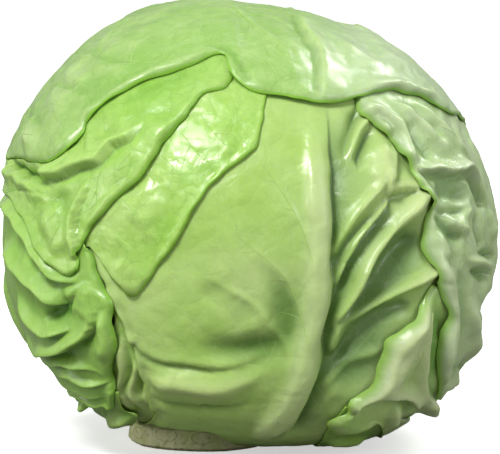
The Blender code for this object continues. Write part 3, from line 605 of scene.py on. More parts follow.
# %% Mesh of a leaf
def shell_faces(rows, columns):
    """Faces of a thin closed sheet: outer face, inner face alike, and the four margins."""
    across = columns + 1
    layer = (rows + 1) * across
    corner = (np.arange(rows)[:, None] * across + np.arange(columns)[None]).reshape(-1)
    outer = np.stack([corner, corner + 1, corner + across + 1, corner + across], 1)
    inner = outer[:, ::-1] + layer
    rim = list(range(across))
    rim += [i * across + columns for i in range(1, rows + 1)]
    rim += [rows * across + j for j in range(columns - 1, -1, -1)]
    rim += [i * across for i in range(rows - 1, 0, -1)]
    rim = np.array(rim)
    following = np.roll(rim, -1)
    margin = np.stack([following, rim, rim + layer, following + layer], 1)
    return np.vstack([outer, inner, margin])


def new_object(name, data):
    """A named object in the scene, at the origin."""
    thing = bpy.data.objects.new(name, data)
    bpy.context.scene.collection.objects.link(thing)
    return thing


def make_mesh(name, vertices, faces):
    """A named object of these faces, which all point outwards."""
    mesh = bpy.data.meshes.new(name)
    mesh.from_pydata(vertices.tolist(), [], [list(face) for face in faces])
    shape = bmesh.new()
    shape.from_mesh(mesh)
    if shape.calc_volume(signed=True) < 0:
        bmesh.ops.reverse_faces(shape, faces=shape.faces)
    shape.to_mesh(mesh)
    shape.free()
    mesh.shade_smooth()
    return new_object(name, mesh)


def search_tree(pieces):
    """One tree over all faces of some pieces, for finding where a ray meets them."""
    vertices = []
    faces = []
    start = 0
    for piece in pieces:
        mesh = piece.data
        points = np.empty(len(mesh.vertices) * 3, dtype=np.float32)
        mesh.vertices.foreach_get("co", points)
        vertices += points.reshape(-1, 3).tolist()
        faces += [[start + index for index in face.vertices] for face in mesh.polygons]
        start += len(mesh.vertices)
    return BVHTree.FromPolygons(vertices, faces)


print("a grid of 2 by 2 closes with", len(shell_faces(2, 2)), "faces")

# %% [markdown]
# ## Laying a leaf
# All of it comes together here: the grid of directions, the form, the drawn folds, the
# crinkles, the rolled margins and the draping. Each point also keeps three numbers for the
# material: how far a fold raises it, how much of a rib it is, and how near the margin is.

# %% Laying a leaf
THIN_MARGIN = 0.35
THIN_WIDTH = 0.0035
FLOOR_CLEARANCE = 0.0009
FOLD_SCALE = 0.004
MARGIN_SCALE = 0.005
laid = []


def put_attribute(piece, name, values):
    """Store one number a vertex, for the material to read."""
    layer = piece.data.attributes.new(name, "FLOAT", "POINT")
    layer.data.foreach_set("value", values.astype(np.float32))


def lay_leaf(name, outline, folds, grid, level, depth=1.0, clear=0.0, rolls=(),
             waves=(0.014, 0.00015), seed=1):
    """Build one leaf over those already laid.

    Its level and its clearance from the floor are in millimetres, and depth is a factor
    for its folds. Each roll is a side, a depth, a width, a start and an end.
    """
    rows, columns = grid
    directions = leaf_grid(outline, rows, columns)
    flat = directions.reshape(-1, 3)
    reach = form_reach(flat)
    spots = flat * reach[:, None]
    raised, ribbed = relief(spots, folds)
    raised = raised * depth
    wanted = reach + level / 1000 + raised
    length, height = waves
    wanted += crinkle(spots, length, height, seed)
    wanted += crinkle(spots, length * FINER_WAVE, height * FINER_HEIGHT, seed + 1)
    wanted = wanted.reshape(rows + 1, columns + 1)
    points = spots.reshape(rows + 1, columns + 1, 3)
    for roll in rolls:
        wanted = wanted - roll_margin(points, roll)
    margin = np.minimum.reduce([border_distance(points, side)
                                for side in ("left", "right", "tip", "foot")])
    full = THIN_MARGIN + (1 - THIN_MARGIN) * smoothstep(margin / THIN_WIDTH)
    thickness = LEAF_THICKNESS * full
    reach = drape(directions, search_tree(laid), wanted, thickness)
    reach = ended(reach, directions, HEAD_MIDDLE[2] - FLOOR_CLEARANCE - clear / 1000)
    outer = (directions * reach[..., None] + HEAD_MIDDLE).reshape(-1, 3)
    inner = (directions * (reach - thickness)[..., None] + HEAD_MIDDLE).reshape(-1, 3)
    piece = make_mesh(name, np.vstack([outer, inner]), shell_faces(rows, columns))
    put_attribute(piece, "fold", np.tile(raised / FOLD_SCALE, 2))
    put_attribute(piece, "rib", np.tile(ribbed, 2))
    put_attribute(piece, "margin", np.tile(margin.reshape(-1) / MARGIN_SCALE, 2))
    laid.append(piece)
    return piece


print("a leaf is", LEAF_THICKNESS * 1000, "mm thick and thins to",
      round(LEAF_THICKNESS * THIN_MARGIN * 1000, 2), "mm")

# %% [markdown]
# ## Colours and nodes
# Materials are trees of nodes. One function adds any node with its settings and links, and
# one lays coats of colour over each other, each as thick as a value says. Colours are
# written as they are seen on a screen and turned to linear light. A pattern's scale is
# worked out from the size in millimetres of what it draws.

# %% Helpers for materials
def linear(hex_colour):
    """A colour as on the screen, turned to linear light."""
    shares = [int(hex_colour[i:i + 2], 16) / 255 for i in (1, 3, 5)]
    return [c / 12.92 if c <= 0.04045 else ((c + 0.055) / 1.055) ** 2.4 for c in shares] + [1]


def feed(tree, node, inputs):
    """Give a node its inputs, each a value or the output of another node."""
    for name, value in inputs.items():
        if isinstance(value, bpy.types.NodeSocket):
            tree.links.new(value, node.inputs[name])
        else:
            node.inputs[name].default_value = value


def add_node(tree, kind, inputs=None, **settings):
    """Add one node: its settings, then its inputs."""
    node = tree.nodes.new(kind)
    for name, value in settings.items():
        setattr(node, name, value)
    feed(tree, node, inputs or {})
    return node


def painted(tree, colour, coats):
    """Lay coats over a colour, each between two shares as its value goes from low to high."""
    for value, low, high, least, most, coat in coats:
        share = add_node(tree, "ShaderNodeMapRange", {
            "Value": value, "From Min": low, "From Max": high,
            "To Min": least, "To Max": most}).outputs["Result"]
        colour = add_node(tree, "ShaderNodeMix", {0: share, 6: colour, 7: coat},
                          data_type="RGBA").outputs[2]
    return colour


def scale_for(millimetres):
    """Scale of a pattern whose cells or blots are this size."""
    return 1000 / millimetres


def new_material(name):
    """A new material: itself, its tree, its shader and the object's own coordinates."""
    material = bpy.data.materials.new(name)
    material.use_nodes = True
    tree = material.node_tree
    place_on = add_node(tree, "ShaderNodeTexCoord").outputs["Object"]
    return material, tree, tree.nodes["Principled BSDF"], place_on


print("leaf green in linear light:", [round(part, 3) for part in linear("#9CC15C")[:3]])

# %% [markdown]
# ## Living cabbage leaf under its wax
# A cabbage leaf is juicy tissue between two skins, and its outer skin grows a film of wax.
# To the eye that gives two things: light sinks in and glows a little (subsurface), and the
# wet-looking skin has soft highlights (coat and a middling roughness). The colour turns
# paler and bluer towards the right by x position alone. The folds are darkened with painted
# shade. Ridges and ribs are paler, being mostly water and fibre, and on raised folds that
# pale is partly a painted highlight. The rim is a brighter lime, painted light shining
# through the thin margin. All of it is drawn from the object's coordinates and the three
# numbers kept on the points, because no picture could follow leaves of this many shapes.

# %% Colour of the waxy skin
# Sizes on a market head, in millimetres: blots two fingers wide, and fine speckles.
BLOT_SIZE = 42
SPECK_SIZE = 4.8
PATCH_ROUGHNESS = 0.6
# A paler, bluer tint laid over the leaves by x position alone, from this far right of the middle
# until full.
PALER_TO_THE_RIGHT = "#BFD0AC"
PALING_STARTS = 0.018
PALING_FULL = 0.042


def leaf_tint(tree, place_on, crooked, veinlets, colours, netting, right_paling):
    """The leaf's colour: blots, specks, painted shade and partly painted highlight on folds, rib,
    net of veins, a paler tint towards the right and painted light at the rim.
    """
    # pale is partly a painted highlight on raised folds, speck_and_fold_shade is a speck colour
    # and painted shade in folds, and rim is painted light through the thin margin.
    body, mottle, pale, speck_and_fold_shade, rib_colour, rim, net = [linear(colour) for colour in colours]
    blots, specks = [add_node(tree, "ShaderNodeTexNoise", {
        "Vector": vector, "Scale": scale_for(size), "Detail": detail,
        "Roughness": PATCH_ROUGHNESS}).outputs["Fac"]
        for vector, size, detail in ((place_on, BLOT_SIZE, 5.0), (crooked, SPECK_SIZE, 4.0))]
    fold, rib_here, margin = [
        add_node(tree, "ShaderNodeAttribute", attribute_name=name).outputs["Fac"]
        for name in ("fold", "rib", "margin")]
    across = add_node(tree, "ShaderNodeSeparateXYZ", {"Vector": crooked}).outputs["X"]
    # Each coat: its value, that value's range, how much it covers at either end, its colour.
    return painted(tree, body, (
        (blots, 0.38, 0.64, 0.0, 1.0, mottle),
        (specks, 0.42, 0.70, 0.0, netting * 0.6, speck_and_fold_shade),
        (specks, 0.52, 0.30, 0.0, netting * 0.8, pale),
        # Raised folds turn pale: partly paler tissue, partly a painted highlight on their tops.
        (fold, 0.05, 0.9, 0.0, 0.7, pale),
        # Sunken folds turn dark: painted shade in the creases.
        (fold, -0.04, -0.9, 0.0, 0.95, speck_and_fold_shade),
        (rib_here, 0.1, 0.95, 0.0, 0.7, rib_colour),
        (veinlets[0], 0.035, 0.0, 0.0, netting, net),
        (veinlets[1], 0.06, 0.0, 0.0, netting * 0.4, net),
        # Paler and bluer towards the right, by x position alone.
        (across, PALING_STARTS, PALING_FULL, right_paling[0], right_paling[1], linear(PALER_TO_THE_RIGHT)),
        # A brighter lime rim along the margin: painted light shining through the thin edge.
        (margin, 0.04, 0.28, 0.9, 0.0, rim)))


# The paler tint towards the right is laid by x position alone.
print("the wax film sets in", PALING_STARTS * 1000, "mm to the right, full at", PALING_FULL * 1000)

# %% [markdown]
# ## Relief and shine of the skin
# The leaf's smallest veins leave meshes of about a centimetre, with smaller ones in them.
# They are cells of a Voronoi pattern whose place wanders, so that no line is straight. The
# cells swell a little between the lines, and the shine changes from spot to spot where the
# wax has been rubbed. Water in the tissue lets light sink in a few millimetres.

# %% Waxy leaf skin
NET_CELLS = (10.5, 3.8)
NET_SWELLS_OVER = (0.26, 0.25)
NET_HEIGHTS = (1.0, 0.3)
NET_RELIEF = 0.0005
NET_STRENGTH = 0.28
WANDER_SIZE = 11
WANDER_SHIFT = 0.006
RUBBED_SIZE = 8.3
RUBBED_RANGE = (0.35, 0.65)
SHINIER = 0.10
DULLER = 0.14
WATERY_SKIN = {
    "Subsurface Weight": 0.3, "Subsurface Radius": (0.85, 1.0, 0.15),
    "Subsurface Scale": 0.0035, "Coat Weight": 0.25, "Coat Roughness": 0.26,
    "Specular IOR Level": 0.5,
}


def leaf_material(name, colours, roughness, netting, right_paling):
    """Waxy leaf skin: colours are body, mottle, pale (partly painted highlight on folds), painted
    shade in folds, rib, rim of painted light and net.
    """
    material, tree, shader, place_on = new_material(name)
    wander = add_node(tree, "ShaderNodeTexNoise", {
        "Vector": place_on, "Scale": scale_for(WANDER_SIZE), "Detail": 3.0}).outputs["Color"]
    shift = add_node(tree, "ShaderNodeVectorMath", {0: wander, 1: (WANDER_SHIFT,) * 3},
                     operation="MULTIPLY").outputs[0]
    crooked = add_node(tree, "ShaderNodeVectorMath", {0: place_on, 1: shift},
                       operation="ADD").outputs[0]
    veinlets = [add_node(tree, "ShaderNodeTexVoronoi", {
        "Vector": crooked, "Scale": scale_for(size)},
        feature="DISTANCE_TO_EDGE").outputs["Distance"] for size in NET_CELLS]
    swells = [add_node(tree, "ShaderNodeMapRange", {
        "Value": veinlet, "From Max": width, "To Max": height}).outputs["Result"]
        for veinlet, width, height in zip(veinlets, NET_SWELLS_OVER, NET_HEIGHTS)]
    blisters = add_node(tree, "ShaderNodeMath", {0: swells[0], 1: swells[1]},
                        operation="ADD").outputs[0]
    bump = add_node(tree, "ShaderNodeBump", {
        "Strength": NET_STRENGTH, "Distance": NET_RELIEF, "Height": blisters}).outputs["Normal"]
    rubbed = add_node(tree, "ShaderNodeTexNoise", {
        "Vector": place_on, "Scale": scale_for(RUBBED_SIZE), "Detail": 4.0}).outputs["Fac"]
    shine = add_node(tree, "ShaderNodeMapRange", {
        "Value": rubbed, "From Min": RUBBED_RANGE[0], "From Max": RUBBED_RANGE[1],
        "To Min": roughness - SHINIER, "To Max": roughness + DULLER}).outputs["Result"]
    tint = leaf_tint(tree, place_on, crooked, veinlets, colours, netting, right_paling)
    feed(tree, shader, {"Base Color": tint, "Roughness": shine, "Normal": bump})
    feed(tree, shader, WATERY_SKIN)
    return material


print("veins of the net lie about", NET_CELLS[0], "and", NET_CELLS[1], "mm apart")

# %% [markdown]
# ## Plant tissue without wax
# The stump is cut pith, which has dried a little: nearly white, matt and rough, with
# greener spots. Leaves that never saw the sun are blanched, pale and even. The rims of
# leaf scars are cork. None of these has wax, so they need only a mottle of three colours
# with a fine grain.

# %% Bare tissue
GRAIN_RELIEF = 0.0006
BLOTS_TO_SPOTS = 3.1


def bare_tissue(name, colours, blot, roughness, grain):
    """A matt plant surface mottled between three colours, its blots given in millimetres."""
    material, tree, shader, place_on = new_material(name)
    broad, fine = [add_node(tree, "ShaderNodeTexNoise", {
        "Vector": place_on, "Scale": scale_for(size), "Detail": detail}).outputs["Fac"]
        for size, detail in ((blot, 5.0), (blot / BLOTS_TO_SPOTS, 6.0))]
    base, second, third = [linear(colour) for colour in colours]
    tint = painted(tree, base, ((broad, 0.42, 0.66, 0.0, 1.0, second),
                                (fine, 0.55, 0.72, 0.0, 0.85, third)))
    bump = add_node(tree, "ShaderNodeBump", {
        "Strength": grain, "Distance": GRAIN_RELIEF, "Height": fine}).outputs["Normal"]
    feed(tree, shader, {"Base Color": tint, "Roughness": roughness, "Normal": bump})
    return material


print("grain stands up to", GRAIN_RELIEF * 1000, "mm")

# %% [markdown]
# ## Standing in for the frame
# Every node of the frame has a finer piece here. The piece rides on the frame's one body
# and replaces the node, which is hidden, and it is given its own material, so whoever
# takes the part apart later finds the same leaves.


def dress(piece, node, material):
    """Give a piece its finish and let it stand for its node."""
    piece.data.materials.append(material)
    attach(piece, "root")
    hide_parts(node)
    print(piece.name, len(piece.data.polygons), "faces, stands for", node)


# %% [markdown]
# ## The cut stalk
# The stalk is cut across near the lowest leaves, so it has a flat foot and a low rough side
# where older leaves were pulled off. It could be a plain cylinder, but its side shows in
# front. So it is turned from a profile, with shallow hollows between the places of five
# leaves and fine fibres that run up it.

# %% Cut stalk
STALK_RADIUS = 0.0280
STALK_PROFILE = [(0.0, 0.93), (0.0012, 1.0), (0.0075, 0.97), (0.0100, 0.80), (0.0140, 0.40)]
STALK_HOLLOWS = 5
STALK_HOLLOW_DEPTH = 0.03
STALK_RINGS = 44
STALK_SIDES = 260
# Wavelength, height and seed of the rough side.
STALK_COARSE_ROUGHNESS = (0.0045, 0.00022, 5)
STALK_FINE_ROUGHNESS = (0.0016, 0.00012, 6)
ROUGHNESS_RUNS_UP = 0.45
FIBRES = 70
FIBRE_DEPTH = 0.00022
FIBRE_SWAY = 9
FIBRE_SWAYS = 3
FIBRE_LEAN = 900


def ring_faces(rings, sides):
    """Faces of a turned solid: its side as quads, then its foot and its top."""
    ring = np.arange(rings - 1)[:, None] * sides
    step = np.arange(sides)[None]
    a = (ring + step).reshape(-1)
    b = (ring + (step + 1) % sides).reshape(-1)
    side = np.stack([a, b, b + sides, a + sides], 1).tolist()
    top = (rings - 1) * sides
    return side + [list(range(sides - 1, -1, -1)), list(range(top, top + sides))]


def cut_stalk():
    """The stump of the stalk, rough and fibrous round its side."""
    heights, shares = zip(*STALK_PROFILE)
    height = np.linspace(0, heights[-1], STALK_RINGS)[:, None]
    turn = np.linspace(0, math.tau, STALK_SIDES, endpoint=False)[None]
    hollow = 1 - STALK_HOLLOW_DEPTH * np.abs(np.sin(STALK_HOLLOWS * turn / 2))
    radius = STALK_RADIUS * np.interp(height, heights, shares) * hollow
    spots = np.stack(np.broadcast_arrays(
        radius * np.cos(turn), radius * np.sin(turn), height * ROUGHNESS_RUNS_UP), 2)
    spots = spots.reshape(-1, 3)
    rough = crinkle(spots, *STALK_COARSE_ROUGHNESS) + crinkle(spots, *STALK_FINE_ROUGHNESS)
    sway = FIBRE_SWAY * np.sin(FIBRE_SWAYS * turn)
    fibre = FIBRE_DEPTH * np.sin(FIBRES * turn + sway + height * FIBRE_LEAN)
    radius = radius - np.abs(rough.reshape(radius.shape)) - np.abs(fibre)
    points = np.stack(np.broadcast_arrays(
        STALK_CENTRE_X + radius * np.cos(turn), radius * np.sin(turn), height), 2)
    return make_mesh("cut_stalk", points.reshape(-1, 3), ring_faces(STALK_RINGS, STALK_SIDES))


stalk_piece = cut_stalk()
dress(stalk_piece, "stalk",
      bare_tissue("cut_pith", ("#F6F5C4", "#E4EAA2", "#B4C476"),
                  blot=6.25, roughness=0.75, grain=0.5))

# %% [markdown]
# ## The dense middle
# Inside sits the ball of leaves that haven't opened. It shows only through gaps between
# the outer leaves, so it follows the head's form a little deeper, with the steps of its
# outermost wraps running round it in a slow screw.

# %% Dense middle
INNER_HEAD_DEPTH = 0.0160
INNER_WRAPS = 5
INNER_WRAP_STEP = 0.0015
INNER_WRAP_TWIST = 0.6
INNER_WRAP_FADE = 1.2
BALL_SUBDIVISIONS = 5


def dense_middle():
    """The ball of unopened leaves, with the steps of its outermost wraps."""
    ball = bmesh.new()
    bmesh.ops.create_icosphere(ball, subdivisions=BALL_SUBDIVISIONS, radius=1)
    directions = unit([vertex.co for vertex in ball.verts])
    faces = [[vertex.index for vertex in face.verts] for face in ball.faces]
    ball.free()
    turn = np.arctan2(directions[:, 1], directions[:, 0])
    climb = directions[:, 2] * INNER_WRAP_TWIST
    wrap = ((turn / math.tau * INNER_WRAPS + climb) % 1) * INNER_WRAP_STEP
    to_poles = INNER_WRAP_FADE - np.abs(directions[:, 2]) * INNER_WRAP_FADE
    reach = form_reach(directions) - INNER_HEAD_DEPTH - wrap * np.clip(to_poles, 0, 1)
    return make_mesh("dense_middle", directions * reach[:, None] + HEAD_MIDDLE, faces)


middle_piece = dense_middle()
laid.append(middle_piece)
dress(middle_piece, "inner_head",
      bare_tissue("blanched_leaf", ("#C8D99A", "#B4CC7E", "#D9E2B4"),
                  blot=25, roughness=0.45, grain=0.1))

# %% [markdown]
# ## Adding the leaves
# From here on the head is built as it grew, from the inside out. Each leaf is a drawing:
# its four borders, then its folds with their heights and widths in millimetres. The colours
# of a leaf are, in this order, its body, its mottle, pale on ridges (partly painted
# highlight), painted shade in folds, its rib, its rim of painted light shining through the
# thin margin and its net of veins.

# %% One call for a leaf
def add_leaf(name, outline, folds, colours, roughness, netting, right_paling=(0, 0), **facts):
    """Lay a leaf over those already there and give it its waxy skin."""
    piece = lay_leaf(name + "_fine", outline, folds, **facts)
    skin = leaf_material("waxy_skin_of_" + name, colours, roughness, netting, right_paling)
    dress(piece, name, skin)


print(len(laid), "piece laid so far")

# %% [markdown]
# ## The leaf that peeps out low on the left
# A narrow inner leaf shows between the torn lobes low on the left. Only a strip of it is
# seen, with a few crimped ridges, so it is a small grid that ends under its neighbours.

# %% The leaf that peeps out low on the left
left_inner_outline = {
    "foot": [at_stalk(turn) for turn in (-112, -80, -50, -20)],
    "left": [at_stalk(-112), around(-90, -54), around(-82, -44), around(-70, -33), (100, 340),
             (102, 300)],
    "right": [at_stalk(-20), (192, 424), (185, 400), (165, 360), (128, 305)],
}
left_inner_folds = [
    ridge([(128, 424), (120, 408), (116, 392), (115, 374), (117, 352), (113, 330)], 3.0, 2.4),
    crease([(124, 410), (119, 392), (122, 372), (121, 345)], 2.4, 1.6),
    ridge([(140, 424), (132, 408), (127, 392), (127, 374), (123, 350)], 2.6, 2.2),
    crease([(137, 408), (136, 392), (138, 372)], 2.2, 1.4),
    ridge([(147, 420), (142, 402), (138, 386)], 1.6, 1.6),
]
add_leaf("leaf_left_inner", left_inner_outline, left_inner_folds,
         colours=("#A6C368", "#8CB451", "#CFDB9E", "#6D9437",
                  "#BFD48C", "#A2C758", "#CFDCA4"),
         roughness=0.4, netting=0.2, grid=(100, 60), seed=6000,
         level=-5.0, clear=4.0)

# %% [markdown]
# ## The front leaf
# The largest leaf faces the viewer. Its midrib rises from the stump and fades towards the
# top. To the right of it the leaf is pulled into a fan of straight tight folds, to the left
# it bulges between a deep valley and low swags near the foot. Sculpting could give this,
# but strokes that follow the folds stay easy to move one by one.

# %% The front leaf
front_outline = {
    "foot": [at_stalk(turn) for turn in (-62, -38, -15, 8, 30, 56, 84)],
    "left": [at_stalk(-62), (149, 425), (146, 412), (142, 396), (135, 378), (131, 360),
             (120, 340), (112, 318), (94, 288), (76, 256), (84, 205), (120, 140), (170, 85),
             (238, 48)],
    "rib": [at_stalk(30), (262, 446), (290, 414), (307, 376), (316, 335), (321, 300),
            (323, 230), (319, 150), (316, 105), (312, 55)],
    "right": [at_stalk(88), around(89, -60), around(94, -48), around(95, -36), (468, 325),
              (464, 250), (447, 175), (415, 105), (372, 55)],
}
front_folds = [
    rib([(250, 448), (268, 436), (286, 416), (297, 396), (305, 372), (311, 350), (316, 325),
         (320, 290), (321, 250), (320, 200), (317, 150), (315, 100)], 2.8, 5.2, 5.2,
        (0.10, 0.3)),
    crease([(284, 446), (306, 422), (319, 396), (327, 368), (332, 336), (337, 290),
            (338, 240), (337, 190), (335, 130), (331, 100)], 4.6, 1.0, 6, (0.1, 0.2)),
    crease([(255, 430), (276, 410), (291, 386), (299, 360), (305, 330), (309, 290),
            (310, 240), (308, 190), (305, 140)], 1.4, 2.6, 1.2),
    ridge([(340, 405), (365, 340), (388, 285), (407, 235), (410, 195)], -4.8, 12, 12,
          (0.2, 0.2)),
    ridge([(337, 262), (350, 236), (362, 214), (376, 196), (394, 176)], 2.4, 2.0, 2.0,
          (0.1, 0.2)),
    crease([(339, 276), (352, 250), (366, 228), (380, 210), (394, 192)], 3.2, 1.4, 1.4,
           (0.2, 0.1)),
    lap([(335, 300), (346, 270), (360, 246), (372, 227), (384, 209), (393, 195),
         (398, 180)], 3.2, 2.2, 4.0, (0.15, 0.25)),
    ridge([(336, 346), (348, 320), (358, 296), (370, 272), (386, 248), (406, 220),
           (428, 190)], 5.6, 2.6, 3.6, (0.15, 0.05)),
    ridge([(344, 346), (360, 316), (380, 288), (404, 260), (428, 232)], -3.0, 2.6, 2.6,
          (0.15, 0.1)),
    ridge([(322, 372), (340, 348), (358, 326), (380, 308), (408, 290), (442, 270)],
          4.4, 1.8, 2.8, (0.15, 0.05)),
    ridge([(336, 374), (362, 348), (390, 326), (420, 306)], -2.6, 2.2, 2.2, (0.2, 0.1)),
    rib([(446, 350), (456, 290), (458, 230), (440, 170), (410, 112)], -4.0, 5.0),
    ridge([(318, 404), (331, 391), (345, 378), (358, 367), (380, 356), (396, 344)], 2.0, 2.4),
    ridge([(306, 434), (322, 414), (340, 396), (354, 386)], 1.0, 2.2),
    crease([(362, 96), (359, 114), (354, 132), (345, 154)], 3.6, 2.4),
    ridge([(377, 110), (366, 122), (357, 137), (350, 156)], 2.4, 2.0),
    crease([(379, 120), (371, 136), (364, 152), (362, 168)], 3.4, 1.9),
    ridge([(385, 130), (389, 150), (387, 170), (378, 190)], 2.8, 3.4, 4.5),
    lap([(391, 188), (397, 172), (400, 156), (397, 138)], 1.8, 2.6, 2.4),
    lap([(388, 190), (404, 189), (424, 187)], 2.4, 5.0, 4.0, (0.1, 0.05)),
    ridge([(300, 396), (292, 362), (278, 336), (256, 312), (225, 288), (180, 258)],
          0.8, 1.6, 1.6, (0.3, 0.6)),
    ridge([(309, 345), (299, 304), (284, 276), (262, 256), (232, 232)],
          0.7, 1.5, 1.5, (0.3, 0.6)),
    ridge([(313, 260), (301, 222), (283, 190), (262, 160)], 0.6, 1.4, 1.4, (0.3, 0.6)),
    ridge([(262, 250), (274, 276), (285, 304), (288, 330), (276, 350), (246, 356),
           (210, 350), (176, 342)], -3.2, 6.5, 6.5, (0.35, 0.4)),
    ridge([(196, 282), (228, 304), (258, 330)], -0.9, 5),
    ridge([(176, 342), (210, 350), (250, 352), (290, 340)], -0.6, 5.0, 4.0, (0.5, 0.3)),
    ridge([(132, 346), (160, 360), (205, 367), (240, 366), (276, 356)], 1.2, 2.6, 1.5),
    crease([(127, 346), (137, 357), (152, 364), (170, 368), (190, 371), (212, 373),
            (246, 372)], 2.6, 1.6, 1.4, (0.05, 0.6)),
    ridge([(138, 378), (165, 386), (205, 391), (240, 389), (274, 376)], 3.4, 5.0, 5.4,
          (0.25, 0.5)),
    crease([(146, 392), (165, 396), (187, 398), (219, 398), (243, 395)],
           0.6, 1.2, 1.2, (0.3, 0.6)),
    crease([(146, 401), (165, 409), (187, 414), (214, 415), (240, 410), (262, 398)],
           2.4, 1.6, 1.8, (0.2, 0.5)),
]
add_leaf("leaf_front", front_outline, front_folds,
         colours=("#9CC15C", "#B0CD7C", "#C9DE94", "#5A8230",
                  "#B2C988", "#A1C75D", "#C9D99A"),
         roughness=0.38, netting=0.10, right_paling=(0.0, 0.12), grid=(190, 190), seed=36100,
         level=-2.9,
         rolls=[("left", 5.0, 7.0, 0.06, 0.5)])

# %% [markdown]
# ## The pointed flap
# Over the front leaf's left shoulder lies a smooth, taut flap that ends in a point at
# lower left. It shines more than the others, because it is stretched and nearly flat, with
# a few faint creases where it was pressed.

# %% The pointed flap
left_flap_outline = {
    "left_crowding": 0.7,
    "left": [at_stalk(-84), (62, 380), (40, 320), (40, 240), (80, 150), (150, 80), (200, 48)],
    "right": [at_stalk(-64), (96, 400), (72, 330), (75, 290), (78, 262), (82, 245), (90, 251),
              (98, 263), (110, 280), (130, 298), (145, 281), (160, 262), (181, 232), (195, 203),
              (221, 172), (256, 145), (262, 122), (267, 92), (268, 62)],
}
left_flap_folds = [
    ridge([(100, 262), (118, 284), (130, 296), (146, 279), (160, 260), (180, 231),
           (194, 203), (220, 171), (254, 144), (260, 122), (265, 92)], 0.9, 2.6),
    ridge([(112, 262), (130, 288)], 1.2, 5),
    ridge([(121, 197), (135, 213), (146, 228), (158, 244)], 0.9, 2.4),
    ridge([(110, 228), (122, 248), (134, 268)], 0.5, 1.4),
    ridge([(138, 176), (146, 200), (156, 226)], 1.2, 5),
    ridge([(210, 122), (222, 138), (236, 152)], 1.0, 4.5),
    crease([(196, 150), (206, 164), (212, 176)], 0.8, 3),
    rib([(66, 380), (52, 300), (52, 240), (84, 172), (140, 100)], -4.5, 9.5),
]
add_leaf("leaf_left_flap", left_flap_outline, left_flap_folds,
         colours=("#94C24F", "#A9CB6E", "#B8D884", "#6A9E30",
                  "#BBD185", "#80BC30", "#7FAF42"),
         roughness=0.33, netting=0.3, grid=(200, 90), seed=18000,
         level=-1.8, waves=(0.008, 0.00022),
         rolls=[("right", 0.6, 1.2, 0, 1)])

# %% [markdown]
# ## The torn base on the left
# A stub of an older leaf is left beside the stump. It is short and dark, since it lies in
# shade, and it fills the gap between the stump and the hanging lobes.

# %% The torn base on the left
OLD_STUB = {
    "colours": ("#78A042", "#8AB253", "#A9C86E", "#4F7828", "#A2BC6E", "#8CB64D", "#90B55A"),
    "roughness": 0.42, "netting": 0.2, "grid": (60, 40), "seed": 2400,
}
base_left_outline = {
    "left": [at_stalk(-112), around(-84, -47), (88, 412), (96, 390)],
    "right": [at_stalk(-72), (134, 424), (122, 414), (116, 394)],
}
base_left_folds = [
    ridge([(130, 420), (116, 422), (104, 420)], 4.6, 3.0, 3.0, (0.3, 0.3)),
]
add_leaf("leaf_base_left", base_left_outline, base_left_folds,
         level=-2.4, clear=1.6, **OLD_STUB)

# %% [markdown]
# ## The draped leaf low on the left
# This leaf hangs in swags: nested folds like a curtain tied at both ends, each one a laid
# step with a round upper lip and a sharp drop. Its torn foot has a tooth and a lobe like a
# finger. Laps are used here, because a plain ridge has no such drop.

# %% The draped leaf low on the left
left_lower_outline = {
    "foot": [at_stalk(-154), at_stalk(-124), around(-96, -52), (62, 392), (78, 404),
             (92, 406), (102, 405), (113, 409)],
    "tip": [around(-150, 25), around(-105, 18), (20, 180), (60, 215), (87, 249)],
    "left": [at_stalk(-154), around(-154, -40), around(-152, -5), around(-150, 25)],
    "right": [(113, 409), (113, 392), (107, 374), (114, 347), (109, 326), (108, 302),
              (98, 286), (87, 249)],
}
left_lower_folds = [
    lap([(2, 196), (12, 212), (22, 228), (32, 244), (41, 258), (48, 271), (57, 281),
         (66, 284), (75, 281), (82, 270)], 3.4, 3.8, 3.0),
    lap([(2, 236), (12, 256), (22, 272), (32, 283), (43, 293), (54, 301), (64, 302),
         (74, 293), (82, 280)], 3.2, 3.4, 2.6),
    crease([(42, 317), (53, 311), (62, 304), (72, 296)], 5.0, 2.6),
    lap([(14, 290), (22, 307), (31, 321), (40, 329), (50, 334), (60, 334), (70, 327)],
        3.0, 3.2, 2.4),
    lap([(16, 322), (24, 338), (38, 350), (52, 352), (67, 349), (77, 344),
         (84, 336), (88, 326), (92, 315), (98, 306), (106, 300)], 3.4, 3.6, 2.8,
        (0.45, 0.3)),
    ridge([(90, 280), (87, 294), (84, 308), (78, 320)], 1.4, 3.0),
    ridge([(106, 306), (103, 324), (107, 344), (100, 364)], 2.4, 3.0, 3.4),
    lap([(34, 354), (46, 361), (60, 363), (77, 364), (90, 368), (102, 376)], 2.2, 2.0, 1.6,
        (0.5, 0.3)),
    lap([(46, 366), (64, 373), (76, 378), (86, 383), (96, 384), (108, 379)], 2.2, 2.0, 1.6,
        (0.5, 0.3)),
    lap([(50, 374), (66, 384), (82, 391), (96, 396), (110, 399)], 1.8, 1.8, 1.4, (0.5, 0.2)),
    lap([(62, 386), (76, 393), (92, 401), (112, 408)], 2.0, 1.8, 1.6, (0.5, 0.05)),
    ridge([(84, 400), (85, 418)], 3.6, 2.4),
    ridge([(20, 250), (30, 266), (44, 280)], 1.2, 3.0),
    ridge([around(-95, -8), around(-92, -20), around(-88, -34)], 2.6, 5),
    ridge([around(-108, -2), around(-106, -18), around(-100, -34)], -2.2, 5),
    ridge([around(-120, 0), around(-118, -20), around(-112, -38)], 2.6, 5),
]
left_lower_folds += veins_beside_rib("leaf_left_lower")
